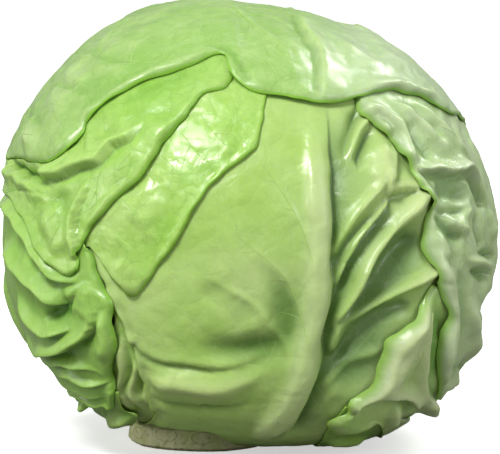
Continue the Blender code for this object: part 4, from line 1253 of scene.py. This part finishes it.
add_leaf("leaf_left_lower", left_lower_outline, left_lower_folds,
         colours=("#80B043", "#90BB55", "#A2CB66", "#54882A",
                  "#B0C87B", "#7DB736", "#76A43C"),
         roughness=0.36, netting=0.25, grid=(175, 165), seed=32375,
         level=-0.8, depth=1.3, clear=5.0,
         rolls=[("right", 2.4, 2.6, 0, 1), ("foot", 2.0, 2.4, 0.5, 1)])

# %% [markdown]
# ## The broad leaf on the left
# The broad leaf on the left shoulder wraps round to the back, where its side veins show.
# Its front margin runs down from under the crown and it is crossed by long flat folds.

# %% The broad leaf on the left
left_outline = {
    "foot": [at_stalk(-168), at_stalk(-148), around(-140, -38), around(-128, -8),
             around(-108, 6), (6, 192), (24, 213), (43, 251), (67, 274), (78, 268)],
    "left": [at_stalk(-168), around(-164, -30), around(-165, 10), around(-165, 58)],
    "right": [(78, 268), (81, 245), (90, 227), (114, 200), (144, 171), (162, 144),
              (184, 115), (203, 91), (226, 84), (234, 62), (232, 38)],
}
left_folds = [
    ridge([(77, 262), (80, 243), (89, 225), (113, 198), (143, 169), (161, 142), (183, 113),
           (202, 90), (224, 83)], 0.9, 2.4),
    crease([(12, 161), (25, 169), (36, 176), (43, 181), (56, 194)], 4.0, 1.2, 1.8,
           (0.1, 0.5)),
    ridge([(6, 172), (22, 180), (38, 192), (52, 212)], 2.0, 2.6),
    crease([(6, 193), (19, 189), (32, 189), (52, 195)], 0.9, 1.0),
    lap([(77, 258), (75, 240), (76, 225), (79, 208), (84, 190), (91, 170)], 2.2, 3.4, 2.0,
        (0.05, 0.5)),
    ridge([(46, 204), (54, 228), (62, 256)], 2.4, 5),
    crease([(58, 186), (62, 206), (66, 230)], 1.2, 2.6),
    ridge([(100, 186), (125, 162), (150, 136), (174, 108)], 1.4, 4.5),
    crease([(160, 150), (174, 134), (186, 122)], 0.8, 1.2),
    crease([(222, 60), (192, 71), (150, 86), (112, 106)], 0.9, 3),
    lap([(40, 171), (51, 175), (62, 172), (76, 166), (94, 162), (103, 155), (113, 145),
         (130, 139), (139, 130), (147, 114)], 2.8, 4.4, 2.4, (0.1, 0.25)),
    lap([(86, 132), (76, 147), (64, 158), (52, 165), (38, 164), (22, 160), (2, 159)],
        1.2, 7.0, 1.6, (0.2, 0.1)),
    ridge([(92, 130), (92, 144), (96, 155)], 1.2, 2.4),
    ridge([(118, 112), (122, 122), (120, 134)], 0.9, 4),
    crease([(106, 122), (108, 134), (106, 146)], 0.9, 2.4),
]
left_folds += veins_beside_rib("leaf_left")
add_leaf("leaf_left", left_outline, left_folds,
         colours=("#8ABA49", "#A0C666", "#A8CE6E", "#5A8F2A",
                  "#B6CD81", "#80BC34", "#78A83C"),
         roughness=0.33, netting=0.3, grid=(185, 190), seed=39000,
         level=-0.2, depth=1.25, clear=3.4, waves=(0.010, 0.00020),
         rolls=[("right", 1.0, 1.5, 0, 0.8), ("foot", 1.6, 2.2, 0.4, 1)])

# %% [markdown]
# ## The torn base on the right
# Another old stub, on the other side of the stump, in the shade under the front leaf.

# %% The torn base on the right
base_right_outline = {
    "left": [at_stalk(76), (322, 447), (328, 437), (336, 425), (348, 410)],
    "right": [at_stalk(112), (364, 449), (380, 441), (390, 426), (402, 408)],
}
base_right_folds = [
    ridge([(322, 444), (348, 444), (374, 438)], 2.6, 3.4),
]
add_leaf("leaf_base_right", base_right_outline, base_right_folds,
         level=-2.2, clear=1.4, **OLD_STUB)

# %% [markdown]
# ## The curled lobe low on the right
# A pale lobe curls outwards low on the right and turns its lighter underside to the
# viewer. Its rolled left margin is what gives it the look of thickness.

# %% The curled lobe low on the right
right_lower_outline = {
    "left": [at_stalk(103), around(72, -60), (380, 424), (356, 432), (338, 437), (328, 426),
             (337, 420), (349, 415), (350, 406), (362, 398), (376, 384), (382, 370),
             (388, 353), (390, 344), (397, 336), (407, 326), (416, 318), (425, 304),
             (438, 286)],
    "right": [at_stalk(122), around(100, -52), (404, 419), (434, 405), (452, 374),
              (462, 335), (458, 290)],
}
right_lower_folds = [
    ridge([(330, 426), (350, 411), (366, 397), (381, 381), (388, 366), (393, 350),
           (404, 333), (418, 320), (434, 296)], 1.6, 1.6, 2.6),
    ridge([(437, 290), (426, 312), (410, 336), (404, 356), (394, 376), (376, 394),
           (352, 410)], 4.0, 5.0, 5.4, (0.3, 0.3)),
    lap([(437, 408), (428, 394), (423, 380), (424, 362), (425, 345), (431, 322),
         (440, 298)], 3.0, 3.6, 3.6, (0.1, 0.3)),
    ridge([(443, 300), (440, 330), (438, 355), (436, 384)], -4.0, 4.0),
    lap([(372, 400), (384, 396), (396, 397), (408, 400), (422, 406)], 3.2, 4.0, 3.4),
    ridge([(352, 404), (352, 416)], 1.4, 1.8),
    ridge([(424, 398), (428, 410)], 2.4, 2.6),
    ridge([(392, 408), (397, 422)], 2.8, 2.8),
]
add_leaf("leaf_right_lower", right_lower_outline, right_lower_folds,
         colours=("#92BC56", "#A8CA72", "#CFDCA8", "#5D9427",
                  "#B6CD81", "#94C44C", "#BAD184"),
         roughness=0.36, netting=0.2, right_paling=(0, 0.1), grid=(155, 100), seed=18700,
         level=-1.0, depth=1.15,
         rolls=[("left", 3.5, 3.6, 0.15, 1), ("right", 2.0, 2.0, 0.3, 0.6)])

# %% [markdown]
# ## The blistered leaf on the right
# The right side is covered by a leaf with a thick wax film, so it is bluish and dull. It
# is puckered into many small facets between its veins, and its front margin is rolled.

# %% The blistered leaf on the right
right_outline = {
    "foot": [(437, 399), (456, 382), (473, 367), around(86, -40), around(95, -55),
             at_stalk(100), at_stalk(118), at_stalk(136), at_stalk(155)],
    "tip": [(358, 88), (400, 78), around(62, 48), around(110, 58), around(150, 58)],
    "left": [(437, 399), (439, 367), (441, 343), (447, 316), (439, 283), (429, 248),
             (430, 217), (431, 206), (422, 188), (410, 164), (397, 141), (378, 124),
             (362, 109), (358, 88)],
    "right": [at_stalk(155), around(152, -35), around(150, 10), around(150, 58)],
}
right_folds = [
    ridge([(440, 392), (443, 367), (446, 343), (451, 316), (445, 285), (436, 256),
           (434, 226)], 3.0, 3.0, 3.4),
    ridge([(431, 202), (423, 186), (412, 166), (401, 147), (382, 128), (366, 112)],
          1.8, 2.0, 2.4),
    ridge([(360, 106), (380, 112), (400, 129), (410, 152), (421, 166)], 2.2, 2.2, 2.2,
          (0.1, 0.2)),
    ridge([(388, 128), (400, 142), (406, 156)], -1.6, 1.8),
    ridge([(382, 96), (404, 113), (422, 128), (440, 146), (456, 166)], 2.4, 2.2),
    ridge([(400, 124), (418, 142), (434, 160)], -2.0, 2.4),
    ridge([(410, 98), (436, 122), (456, 142), (470, 160)], 1.8, 2.4),
    ridge([(404, 102), (428, 126), (446, 146)], -1.6, 2.2),
    lap([(412, 160), (421, 167), (433, 167), (440, 171), (448, 173), (454, 169),
         (460, 165), (465, 167), (471, 174), (476, 184), (482, 198), (489, 212)],
        3.0, 3.0, 4.0, (0.15, 0.4)),
    ridge([(434, 188), (452, 194), (468, 192)], -2.8, 4.2),
    crease([(470, 176), (476, 190), (484, 208)], 3.0, 1.4, 2.4),
    crease([(431, 207), (443, 213), (455, 211), (473, 206)], 1.8, 1.2),
    ridge([(444, 200), (460, 204), (474, 214)], 1.4, 2.2),
    crease([(433, 213), (441, 220), (450, 229), (464, 240)], 4.6, 1.3, 2.0),
    ridge([(442, 214), (456, 222), (470, 234)], 1.8, 2.4),
    ridge([(434, 226), (440, 240), (446, 262)], 1.8, 2.2),
    crease([(477, 210), (478, 230), (482, 250)], 2.0, 1.2, 2.0),
    ridge([(486, 206), (491, 224), (492, 240)], 1.6, 2.4),
    crease([(474, 246), (482, 252), (494, 254)], 3.2, 1.6, 1.6, (0.4, 0.1)),
    ridge([(462, 258), (478, 262), (492, 264)], 1.8, 2.0),
    crease([(466, 268), (476, 274), (490, 276)], 3.8, 1.6, 2.2, (0.4, 0.1)),
    ridge([(456, 266), (460, 296), (459, 326), (454, 352)], -2.6, 3.0),
    ridge([(466, 284), (471, 312), (473, 338), (466, 362)], 2.6, 4.0),
    ridge([around(68, -15), around(90, -18.5), around(112, -18)], -3.4, 3.6),
    ridge([around(70, -27), around(90, -29), around(110, -29)], -1.2, 5),
    crease([(442, 372), (450, 366), (460, 367), (468, 372)], 3.0, 1.6),
    ridge([(444, 382), (456, 378), (470, 380)], 1.6, 2.4),
]
right_folds += veins_beside_rib("leaf_right")
add_leaf("leaf_right", right_outline, right_folds,
         colours=("#93B763", "#A8C67E", "#C6D9A6", "#679A30",
                  "#A6BC76", "#8CC048", "#BFD29C"),
         roughness=0.38, netting=0.2, right_paling=(0.1, 0.35), grid=(185, 160), seed=33150,
         level=0.2, depth=1.25, waves=(0.012, 0.00030),
         rolls=[("left", 3.0, 3.6, 0, 1), ("foot", 3.0, 3.0, 0, 0.6)])

# %% [markdown]
# ## The crown leaf
# The last leaf lies over the whole top and comes down the back with a strong rib. In front
# its margin makes an eye where two folds meet, and a sharp bright crease runs down to it
# from the top, between the greener side and the side that is tinted paler towards the right.

# %% The crown leaf
crown_outline = {
    "crowding": 0.7,
    "foot": [at_stalk(-150), at_stalk(180), at_stalk(150)],
    "tip": [(3, 157), (22, 158), (38, 162), (52, 162), (64, 156), (76, 145), (84, 133),
            (88, 120), (100, 109), (123, 92), (146, 80), (168, 74), (192, 65), (221, 54),
            (228, 64), (234, 77), (256, 90), (287, 95), (325, 101), (361, 96), (387, 91),
            (412, 95), (444, 112), (461, 121)],
    "left": [at_stalk(-150), around(-150, -45), around(-132, -10), around(-110, 6),
             (3, 158)],
    "rib": [at_stalk(180), around(180, -40), around(180, 0), around(180, 45),
            around(180, 85), around(0, 70), (221, 54)],
    "right": [at_stalk(150), around(148, -45), around(132, -5), around(108, 18),
              (461, 121)],
}
crown_folds = [
    ridge([(85, 128), (88, 117), (101, 105), (123, 89), (146, 77), (165, 70), (191, 61),
           (218, 50)], 1.5, 2.0, 2.0, (0.15, 0.2)),
    crease([(80, 118), (95, 100), (118, 84), (146, 70)], 0.8, 2.4),
    ridge([(232, 73), (256, 87), (287, 92), (325, 97), (361, 93)], 0.3, 2.4),
    ridge([(356, 92), (374, 86), (394, 86), (412, 91), (446, 110)], 2.8, 2.4),
    lap([(292, 12), (303, 30), (315, 45), (321, 61), (324, 96)], 1.6, 6.0, 4.5, (0.2, 0.1)),
    ridge([(228, 2), (252, 23), (273, 38), (288, 52), (296, 86)], 0.7, 1.6),
    crease([(204, 46), (222, 50), (236, 58), (242, 72), (256, 86)], 1.8, 1.6),
    ridge([(238, 44), (258, 58), (276, 76)], 0.3, 4.5),
    ridge([(70, 68), (76, 82), (84, 96)], 2.2, 6),
    ridge([(52, 92), (60, 104), (70, 118)], 1.8, 5),
    crease([(50, 82), (68, 88), (84, 100)], 0.9, 2.0),
    crease([(30, 110), (40, 118), (52, 128)], 1.6, 2.4),
    ridge([(28, 128), (40, 142), (58, 148)], 1.4, 4.5),
    crease([(60, 60), (73, 57), (93, 55), (109, 61), (132, 63), (163, 65)], 1.0, 1.6),
    crease([(50, 89), (67, 88), (87, 93), (92, 107)], 1.0, 1.6),
    ridge([(96, 66), (108, 72), (122, 72), (140, 70)], 1.2, 3.2),
    ridge([(96, 40), (112, 46), (134, 48), (156, 44)], 1.2, 4.2),
    ridge([(36, 112), (34, 130), (38, 148)], 1.6, 3.0),
    crease([(44, 112), (44, 130), (48, 146)], 1.0, 2.4),
    ridge([(118, 26), (146, 18), (180, 12)], 1.2, 5),
    crease([(112, 34), (140, 28), (172, 20)], 0.9, 3),
    ridge([(336, 44), (360, 54), (382, 76)], 1.6, 5),
    ridge([(384, 50), (410, 72), (436, 98)], 1.0, 5),
    crease([(352, 34), (378, 54), (402, 80)], 0.8, 3),
    rib([around(180, -66), around(180, -30), around(180, 10), around(180, 50),
         around(180, 82)], 3.0, 4.6),
]
crown_folds += veins_beside_rib("leaf_crown", height=1.6)
add_leaf("leaf_crown", crown_outline, crown_folds,
         colours=("#84B04E", "#9ABD6C", "#B9CF90", "#5C9226",
                  "#B0C782", "#7CB92C", "#74A23E"),
         roughness=0.38, netting=0.3, right_paling=(0.0, 0.5), grid=(200, 205), seed=45150,
         level=0.0, depth=1.2, waves=(0.011, 0.00030),
         rolls=[("tip", 1.0, 1.5, 0.24, 1)])

# %% [markdown]
# ## Node trees for what follows a surface
# The main veins stand a hair's breadth above the leaf, and the stump carries the rims of
# old leaf scars. Both are thin tubes that follow a surface, so a tree of nodes makes them:
# one turns polylines into tapering tubes, the other strews small rings over the stump and
# presses them on to it. These three helpers begin a tree, end it and run it.

# %% Helpers for node trees
def new_tree(name, **inputs):
    """A tree with a geometry input and output, and further inputs of a name and a kind."""
    tree = bpy.data.node_groups.new(name, "GeometryNodeTree")
    for label, kind in {"Geometry": "Geometry", **inputs}.items():
        tree.interface.new_socket(label, in_out="INPUT", socket_type="NodeSocket" + kind)
    tree.interface.new_socket("Geometry", in_out="OUTPUT", socket_type="NodeSocketGeometry")
    return tree, add_node(tree, "NodeGroupInput").outputs


def end_tree(tree, geometry, material):
    """End a tree: real geometry, smooth, with its material."""
    real = add_node(tree, "GeometryNodeRealizeInstances", {0: geometry}).outputs[0]
    smooth = add_node(tree, "GeometryNodeSetShadeSmooth", {0: real}).outputs[0]
    dressed = add_node(tree, "GeometryNodeSetMaterial", {
        "Geometry": smooth, "Material": material}).outputs[0]
    add_node(tree, "NodeGroupOutput", {0: dressed})


def grown(name, base, tree, values):
    """Run a tree on a base object and keep what it makes as a plain piece at the origin."""
    modifier = base.modifiers.new(tree.name, "NODES")
    modifier.node_group = tree
    for item in tree.interface.items_tree:
        if item.in_out == "INPUT" and item.name in values:
            modifier[item.identifier] = values[item.name]
    graph = bpy.context.evaluated_depsgraph_get()
    mesh = bpy.data.meshes.new_from_object(base.evaluated_get(graph))
    base.modifiers.remove(modifier)
    print(name, len(mesh.polygons), "faces")
    return new_object(name, mesh)


print("a tree ends as real geometry with its material set")

# %% [markdown]
# ## Leaf scars on the stump
# Each old leaf left a lens-shaped scar with a raised corky rim. Circles are strewn on a
# ring round the stump, turned to face outwards, flattened to lenses, pressed on to the
# nearest face and given a thin round section.

# %% Leaf scars
SCARS = {"Count": 12, "Radius": 0.0275, "Height": 0.0048, "Stray": 0.0012,
         "Centre": STALK_CENTRE_X, "Width": 0.0040, "Thickness": 0.00013, "Seed": 4}
SCAR_RING_POINTS = 90
SCAR_RIM_POINTS = 22
SCAR_RIM_SIDES = 6
SCAR_FLATNESS = (1.0, 0.52, 1.0)
SCAR_SIZES = (0.6, 1.25)


def scar_tree():
    """Rings strewn round the stump, pressed on to its side and turned into thin rims."""
    tree, given = new_tree(
        "leaf scars", Count="Int", Radius="Float", Height="Float", Stray="Float",
        Centre="Float", Width="Float", Thickness="Float", Seed="Int", Material="Material")
    circle = add_node(tree, "GeometryNodeCurvePrimitiveCircle", {
        "Resolution": SCAR_RING_POINTS, "Radius": given["Radius"]}).outputs[0]
    points = add_node(tree, "GeometryNodeCurveToPoints",
                      {"Curve": circle, "Count": given["Count"]}).outputs[0]
    place_now = add_node(tree, "GeometryNodeInputPosition").outputs[0]
    facing = add_node(tree, "FunctionNodeAlignRotationToVector", {"Vector": place_now},
                      axis="Z").outputs[0]
    upright = add_node(tree, "FunctionNodeAlignRotationToVector",
                       {"Rotation": facing, "Vector": (0, 0, 1)},
                       axis="Y", pivot_axis="Z").outputs[0]
    ring = add_node(tree, "GeometryNodeCurvePrimitiveCircle",
                    {"Resolution": SCAR_RIM_POINTS, "Radius": given["Width"]}).outputs[0]
    lens = add_node(tree, "GeometryNodeTransform",
                    {"Geometry": ring, "Scale": SCAR_FLATNESS}).outputs[0]
    scale = add_node(tree, "FunctionNodeRandomValue",
                     {2: SCAR_SIZES[0], 3: SCAR_SIZES[1], "Seed": given["Seed"]},
                     data_type="FLOAT").outputs[1]
    strewn = add_node(tree, "GeometryNodeInstanceOnPoints",
                      {"Points": points, "Instance": lens, "Rotation": upright,
                       "Scale": scale}).outputs[0]
    low = add_node(tree, "ShaderNodeMath", {0: given["Stray"], 1: -1.0},
                   operation="MULTIPLY").outputs[0]
    stray = add_node(tree, "FunctionNodeRandomValue",
                     {2: low, 3: given["Stray"], "Seed": given["Seed"]},
                     data_type="FLOAT").outputs[1]
    rise = add_node(tree, "ShaderNodeMath", {0: stray, 1: given["Height"]}).outputs[0]
    offset = add_node(tree, "ShaderNodeCombineXYZ", {"X": given["Centre"], "Z": rise}).outputs[0]
    moved = add_node(tree, "GeometryNodeTranslateInstances",
                     {"Instances": strewn, "Translation": offset,
                      "Local Space": False}).outputs[0]
    real = add_node(tree, "GeometryNodeRealizeInstances", {0: moved}).outputs[0]
    nearest = add_node(tree, "GeometryNodeProximity", {0: given["Geometry"]},
                       target_element="FACES").outputs["Position"]
    pressed = add_node(tree, "GeometryNodeSetPosition",
                       {"Geometry": real, "Position": nearest}).outputs[0]
    section = add_node(tree, "GeometryNodeCurvePrimitiveCircle",
                       {"Resolution": SCAR_RIM_SIDES,
                        "Radius": given["Thickness"]}).outputs[0]
    rims = add_node(tree, "GeometryNodeCurveToMesh",
                    {"Curve": pressed, "Profile Curve": section}).outputs[0]
    end_tree(tree, rims, given["Material"])
    return tree


corky_rim = bare_tissue("corky_rim", ("#D3D6A0", "#BCC484", "#A5B068"),
                        blot=4.5, roughness=0.8, grain=0.3)
scar_rims = grown("leaf_scars", stalk_piece, scar_tree(), dict(SCARS, Material=corky_rim))
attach(scar_rims, "root")

# %% [markdown]
# ## Where the veins run
# A cabbage leaf has veins that branch off its rib and fork again before the margin. The
# main ones are drawn on the front view. On the hidden sides the pairs of side veins
# that were raised as folds are used again.

# %% Main veins
VEIN_LINES = {
    "leaf_crown": [
        [(73, 57), (93, 55), (109, 61), (132, 63), (163, 65)],
        [(55, 89), (67, 88), (78, 93), (87, 93), (92, 106)],
        [(102, 56), (106, 42), (120, 27)], [(132, 63), (138, 44), (156, 26)],
        [(33, 108), (32, 130), (34, 150)], [(62, 72), (76, 82), (92, 84)],
        [(60, 100), (66, 116), (68, 140)], [(163, 65), (176, 48), (196, 34)],
        [(228, 6), (252, 23), (273, 38), (287, 50), (295, 81)],
        [(252, 23), (244, 40), (238, 56)],
        [(205, 20), (200, 36), (206, 50)], [(266, 60), (276, 74), (280, 90)],
    ],
    "leaf_left": [
        [(4, 156), (22, 156), (48, 164)], [(8, 193), (19, 188), (32, 188), (52, 194)],
        [(105, 162), (98, 180), (96, 205)], [(130, 144), (133, 160), (128, 176)],
        [(60, 178), (58, 200), (62, 228)], [(170, 84), (172, 100), (168, 120)],
        [(196, 72), (194, 84), (186, 100)],
    ],
    "leaf_left_flap": [
        [(121, 197), (135, 213), (146, 228), (157, 244)],
        [(111, 230), (122, 248), (133, 268)], [(160, 152), (178, 174), (186, 200)],
        [(200, 112), (214, 132), (232, 150)], [(232, 96), (238, 118), (250, 138)],
        [(180, 130), (196, 150), (212, 166)],
    ],
    "leaf_front": [
        [(309, 345), (299, 304), (284, 276), (262, 256), (232, 232)],
        [(313, 260), (301, 222), (283, 190), (262, 160)],
    ],
    "leaf_right": [
        [(409, 115), (439, 136), (456, 157)], [(439, 127), (470, 157)],
        [(455, 213), (460, 236), (462, 262)], [(446, 250), (452, 290), (456, 320)],
        [(480, 215), (484, 240), (484, 262)], [(420, 130), (436, 160), (448, 170)],
    ],
    "leaf_right_lower": [
        [(432, 312), (416, 340), (406, 366), (398, 386)], [(420, 348), (410, 380)],
    ],
}
print("main veins drawn:", sum(len(lines) for lines in VEIN_LINES.values()))

# %% [markdown]
# ## Side veins
# The rest of each branch is grown from the main veins: short side veins leave to the left
# and right in turn, bend towards the margin, waver and thin out. Drawing them all by hand
# would take a day, and a fixed seed keeps them where they are.

# %% Side veins
VEIN_POINTS = 26
BRANCH_EVERY = 4
BRANCH_POINTS = 14
BRANCH_STEP = 0.0095
BRANCH_STEPS = (0.5, 1.3)
BRANCH_FORWARD = (0.4, 1.1)
BRANCH_BEND = (-0.02, 0.09)
BEND_GROWTH = 40
BRANCH_WIGGLE = 0.0003
MAIN_SIZES = (1.0, 0.45)
BRANCH_SIZES = (0.6, 0.15)
SEED_STEP = 7
SEED_START = 3


def branches(line, draw):
    """Short side veins that leave a line to the left and right in turn."""
    sprouts = []
    heading = np.gradient(line, axis=0)
    for index in range(BRANCH_EVERY, len(line) - 1, BRANCH_EVERY):
        side = np.cross(line[index], heading[index])
        side = unit(side) * (1 if index // BRANCH_EVERY % 2 else -1)
        way = unit(unit(heading[index]) * draw.uniform(*BRANCH_FORWARD) + side)
        bend = unit(heading[index]) * draw.uniform(*BRANCH_BEND)
        steps = np.arange(BRANCH_POINTS)[:, None] * BRANCH_STEP * draw.uniform(*BRANCH_STEPS)
        wiggle = draw.normal(size=(BRANCH_POINTS, 3)).cumsum(0).cumsum(0) * BRANCH_WIGGLE
        bent = way * steps + bend * steps ** 2 * BEND_GROWTH
        sprouts.append(unit(line[index] + bent + wiggle))
    return sprouts


def vein_paths(name):
    """All the vein lines of a leaf with their sizes at the foot and at the end."""
    draw = np.random.default_rng(len(name) * SEED_STEP + SEED_START)
    drawn = list(VEIN_LINES.get(name, ()))
    if name in VEIN_PAIRS:
        drawn += [fold[1] for fold in veins_beside_rib(name)]
    mains = [smooth_path(points, VEIN_POINTS) for points in drawn]
    paths = [(line, *MAIN_SIZES) for line in mains]
    for line in mains:
        paths += [(sprout, *BRANCH_SIZES) for sprout in branches(line, draw)]
    return paths


print("the crown has", len(vein_paths("leaf_crown")), "veins")

# %% [markdown]
# ## Veins as tubes
# A ray from outside puts each point of a vein on its leaf. The points become polylines
# that keep their size, and the tree gives them a round section that is thick at the rib
# and thin at the end. Half of each tube is sunk in the leaf, so it reads as a raised vein.

# %% Vein tubes
LONGEST_STEP = 0.006
FEWEST_POINTS = 4


def on_leaf(tree, line):
    """The places where a line of directions meets a leaf, as long as it stays on it."""
    middle = Vector(HEAD_MIDDLE)
    spots = []
    for ray in line:
        ray = Vector(ray)
        spot = tree.ray_cast(middle + ray * HEAD_WIDTH, -ray, HEAD_WIDTH)[0]
        if spot is None or (spots and (spot - spots[-1]).length > LONGEST_STEP):
            break
        spots.append(spot)
    return spots


def vein_lines(piece, name):
    """A mesh of polylines lying on a leaf, each point with its size."""
    tree = search_tree([piece])
    vertices, edges, sizes = [], [], []
    for line, first, last in vein_paths(name):
        spots = on_leaf(tree, line)
        if len(spots) < FEWEST_POINTS:
            continue
        start = len(vertices)
        vertices += spots
        edges += [(start + i, start + i + 1) for i in range(len(spots) - 1)]
        sizes += list(np.linspace(first, last, len(spots)))
    mesh = bpy.data.meshes.new(name + "_lines")
    mesh.from_pydata(vertices, edges, [])
    lines = new_object(name + "_lines", mesh)
    put_attribute(lines, "size", np.array(sizes))
    return lines


def vein_tree():
    """Polylines become tubes; each point's own size and the thickness give the radius."""
    tree, given = new_tree("veins", Thickness="Float", Sides="Int", Material="Material")
    lines = add_node(tree, "GeometryNodeMeshToCurve", {0: given["Geometry"]}).outputs[0]
    size = add_node(tree, "GeometryNodeInputNamedAttribute", {"Name": "size"},
                    data_type="FLOAT").outputs["Attribute"]
    radius = add_node(tree, "ShaderNodeMath", {0: size, 1: given["Thickness"]},
                      operation="MULTIPLY").outputs[0]
    section = add_node(tree, "GeometryNodeCurvePrimitiveCircle",
                       {"Resolution": given["Sides"], "Radius": 1.0}).outputs[0]
    tubes = add_node(tree, "GeometryNodeCurveToMesh",
                     {"Curve": lines, "Profile Curve": section, "Scale": radius,
                      "Fill Caps": True}).outputs[0]
    end_tree(tree, tubes, given["Material"])
    return tree


tubes = vein_tree()
print("tree made:", tubes.name)

# %% [markdown]
# ## Laying the veins
# A vein is fibre and water under the same skin. To the eye it is one even colour, a little
# paler than the leaf and less shiny, so its colour is set on the shader itself. Each
# leaf's veins are one piece with a material of their own.

# %% Laying the veins
VEIN_THICKNESS = 0.00021
VEIN_SIDES = 5
FIBRE_GRAIN = 3.226
FIBRE_STRENGTH = 0.1
FIBRE_ROUGHNESS = 0.42
VEIN_COLOURS = {
    "leaf_crown": "#9CC367", "leaf_left": "#96C45A", "leaf_left_flap": "#9FC95F",
    "leaf_front": "#A6C66C", "leaf_right": "#B4C98E", "leaf_left_lower": "#98C15E",
    "leaf_right_lower": "#BAD088",
}


def vein_fibre(name, colour):
    """Fibre under the skin: one even colour with a faint grain."""
    material, tree, shader, place_on = new_material("vein_fibre_of_" + name)
    grain = add_node(tree, "ShaderNodeTexNoise", {
        "Vector": place_on, "Scale": scale_for(FIBRE_GRAIN), "Detail": 6.0}).outputs["Fac"]
    bump = add_node(tree, "ShaderNodeBump", {
        "Strength": FIBRE_STRENGTH, "Distance": GRAIN_RELIEF, "Height": grain})
    feed(tree, shader, {"Base Color": linear(colour), "Roughness": FIBRE_ROUGHNESS,
                        "Normal": bump.outputs["Normal"]})
    return material


for name, colour in VEIN_COLOURS.items():
    lines = vein_lines(bpy.data.objects[name + "_fine"], name)
    veins = grown("veins_" + name, lines, tubes, {
        "Thickness": VEIN_THICKNESS, "Sides": VEIN_SIDES,
        "Material": vein_fibre(name, colour)})
    bpy.data.objects.remove(lines)
    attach(veins, "root")

# %% [markdown]
# ## Floor
# The head stands on white studio paper. The camera sees the paper as pure white, while the
# light it throws back is dimmer, so the underside keeps its shade.

# %% Floor
FLOOR_HALF = 3
PAPER_WHITE = "#F8F8F6"
PAPER_BOUNCE = "#82827C"
PAPER_GLOW = 0.55
floor_mesh = bpy.data.meshes.new("floor")
corners = ((-1, -1), (1, -1), (1, 1), (-1, 1))
floor_mesh.from_pydata([(x * FLOOR_HALF, y * FLOOR_HALF, 0) for x, y in corners],
                       [], [(0, 1, 2, 3)])
floor = new_object("floor", floor_mesh)
paper = bpy.data.materials.new("matt_studio_paper")
paper.use_nodes = True
tree = paper.node_tree
by_camera = add_node(tree, "ShaderNodeLightPath").outputs["Is Camera Ray"]
pale = add_node(tree, "ShaderNodeBsdfDiffuse", {"Color": linear(PAPER_WHITE)})
lit = add_node(tree, "ShaderNodeEmission", {"Color": (1, 1, 1, 1), "Strength": PAPER_GLOW})
bright = add_node(tree, "ShaderNodeAddShader", {0: pale.outputs[0], 1: lit.outputs[0]})
dim = add_node(tree, "ShaderNodeBsdfDiffuse", {"Color": linear(PAPER_BOUNCE)})
choice = add_node(tree, "ShaderNodeMixShader", {
    0: by_camera, 1: dim.outputs[0], 2: bright.outputs[0]})
feed(tree, tree.nodes["Material Output"], {"Surface": choice.outputs[0]})
floor_mesh.materials.append(paper)
print("floor", 2 * FLOOR_HALF, "m wide")

# %% [markdown]
# ## Camera
# The photograph was taken from far away with a long lens, from a little above the head's
# middle. The lens follows from the sensor's width, the distance and the head's width.

# %% Camera
SENSOR_WIDTH = 36
FARTHEST_SEEN = 20
camera_data = bpy.data.cameras.new("camera")
camera_data.sensor_width = SENSOR_WIDTH
camera_data.lens = SENSOR_WIDTH * VIEW_DISTANCE / HEAD_WIDTH
camera_data.clip_end = FARTHEST_SEEN
camera = new_object("camera", camera_data)
back = Vector((0, -math.cos(VIEW_RISE), math.sin(VIEW_RISE)))
camera.location = Vector(HEAD_MIDDLE) + back * VIEW_DISTANCE
camera.rotation_euler = back.to_track_quat("Z", "Y").to_euler()
bpy.context.scene.camera = camera
print("lens", round(camera_data.lens), "mm")

# %% [markdown]
# ## Light
# One soft box at upper left gives the highlights on the flap and the crown. Weaker ones
# fill from behind, the left and the right, and a white surround lifts the shadows. The
# surround looks brighter to the camera than it shines, for a clean white background.

# %% Lights
# Each light's place, its width in metres and its power in watts.
LIGHTS = {
    "key": ((-0.40, -0.75, 0.95), 0.42, 13.5),
    "top": ((0.62, 0.50, 0.84), 0.38, 4.5),
    "side": ((-1.1, -0.35, 0.35), 0.4, 2),
    "right": ((1.0, -0.8, 0.5), 0.6, 3.8),
}
SURROUND = 0.43
SURROUND_SEEN = 1.0
for name, (place_of, size_of, power) in LIGHTS.items():
    data = bpy.data.lights.new(name, "AREA")
    data.shape = "DISK"
    data.size = size_of
    data.energy = power
    light = new_object(name, data)
    light.location = place_of
    towards = Vector(place_of) - Vector(HEAD_MIDDLE)
    light.rotation_euler = towards.to_track_quat("Z", "Y").to_euler()
world = bpy.data.worlds.new("studio")
world.use_nodes = True
tree = world.node_tree
by_camera = add_node(tree, "ShaderNodeLightPath").outputs["Is Camera Ray"]
seen_sky, lit_sky = [
    add_node(tree, "ShaderNodeBackground", {"Color": (1, 1, 1, 1), "Strength": strength})
    for strength in (SURROUND_SEEN, SURROUND)]
both = add_node(tree, "ShaderNodeMixShader", {
    0: by_camera, 1: lit_sky.outputs[0], 2: seen_sky.outputs[0]})
feed(tree, tree.nodes["World Output"], {"Surface": both.outputs[0]})
bpy.context.scene.world = world
bpy.context.scene.view_settings.view_transform = "Standard"
print(len(LIGHTS), "lights and a white surround")
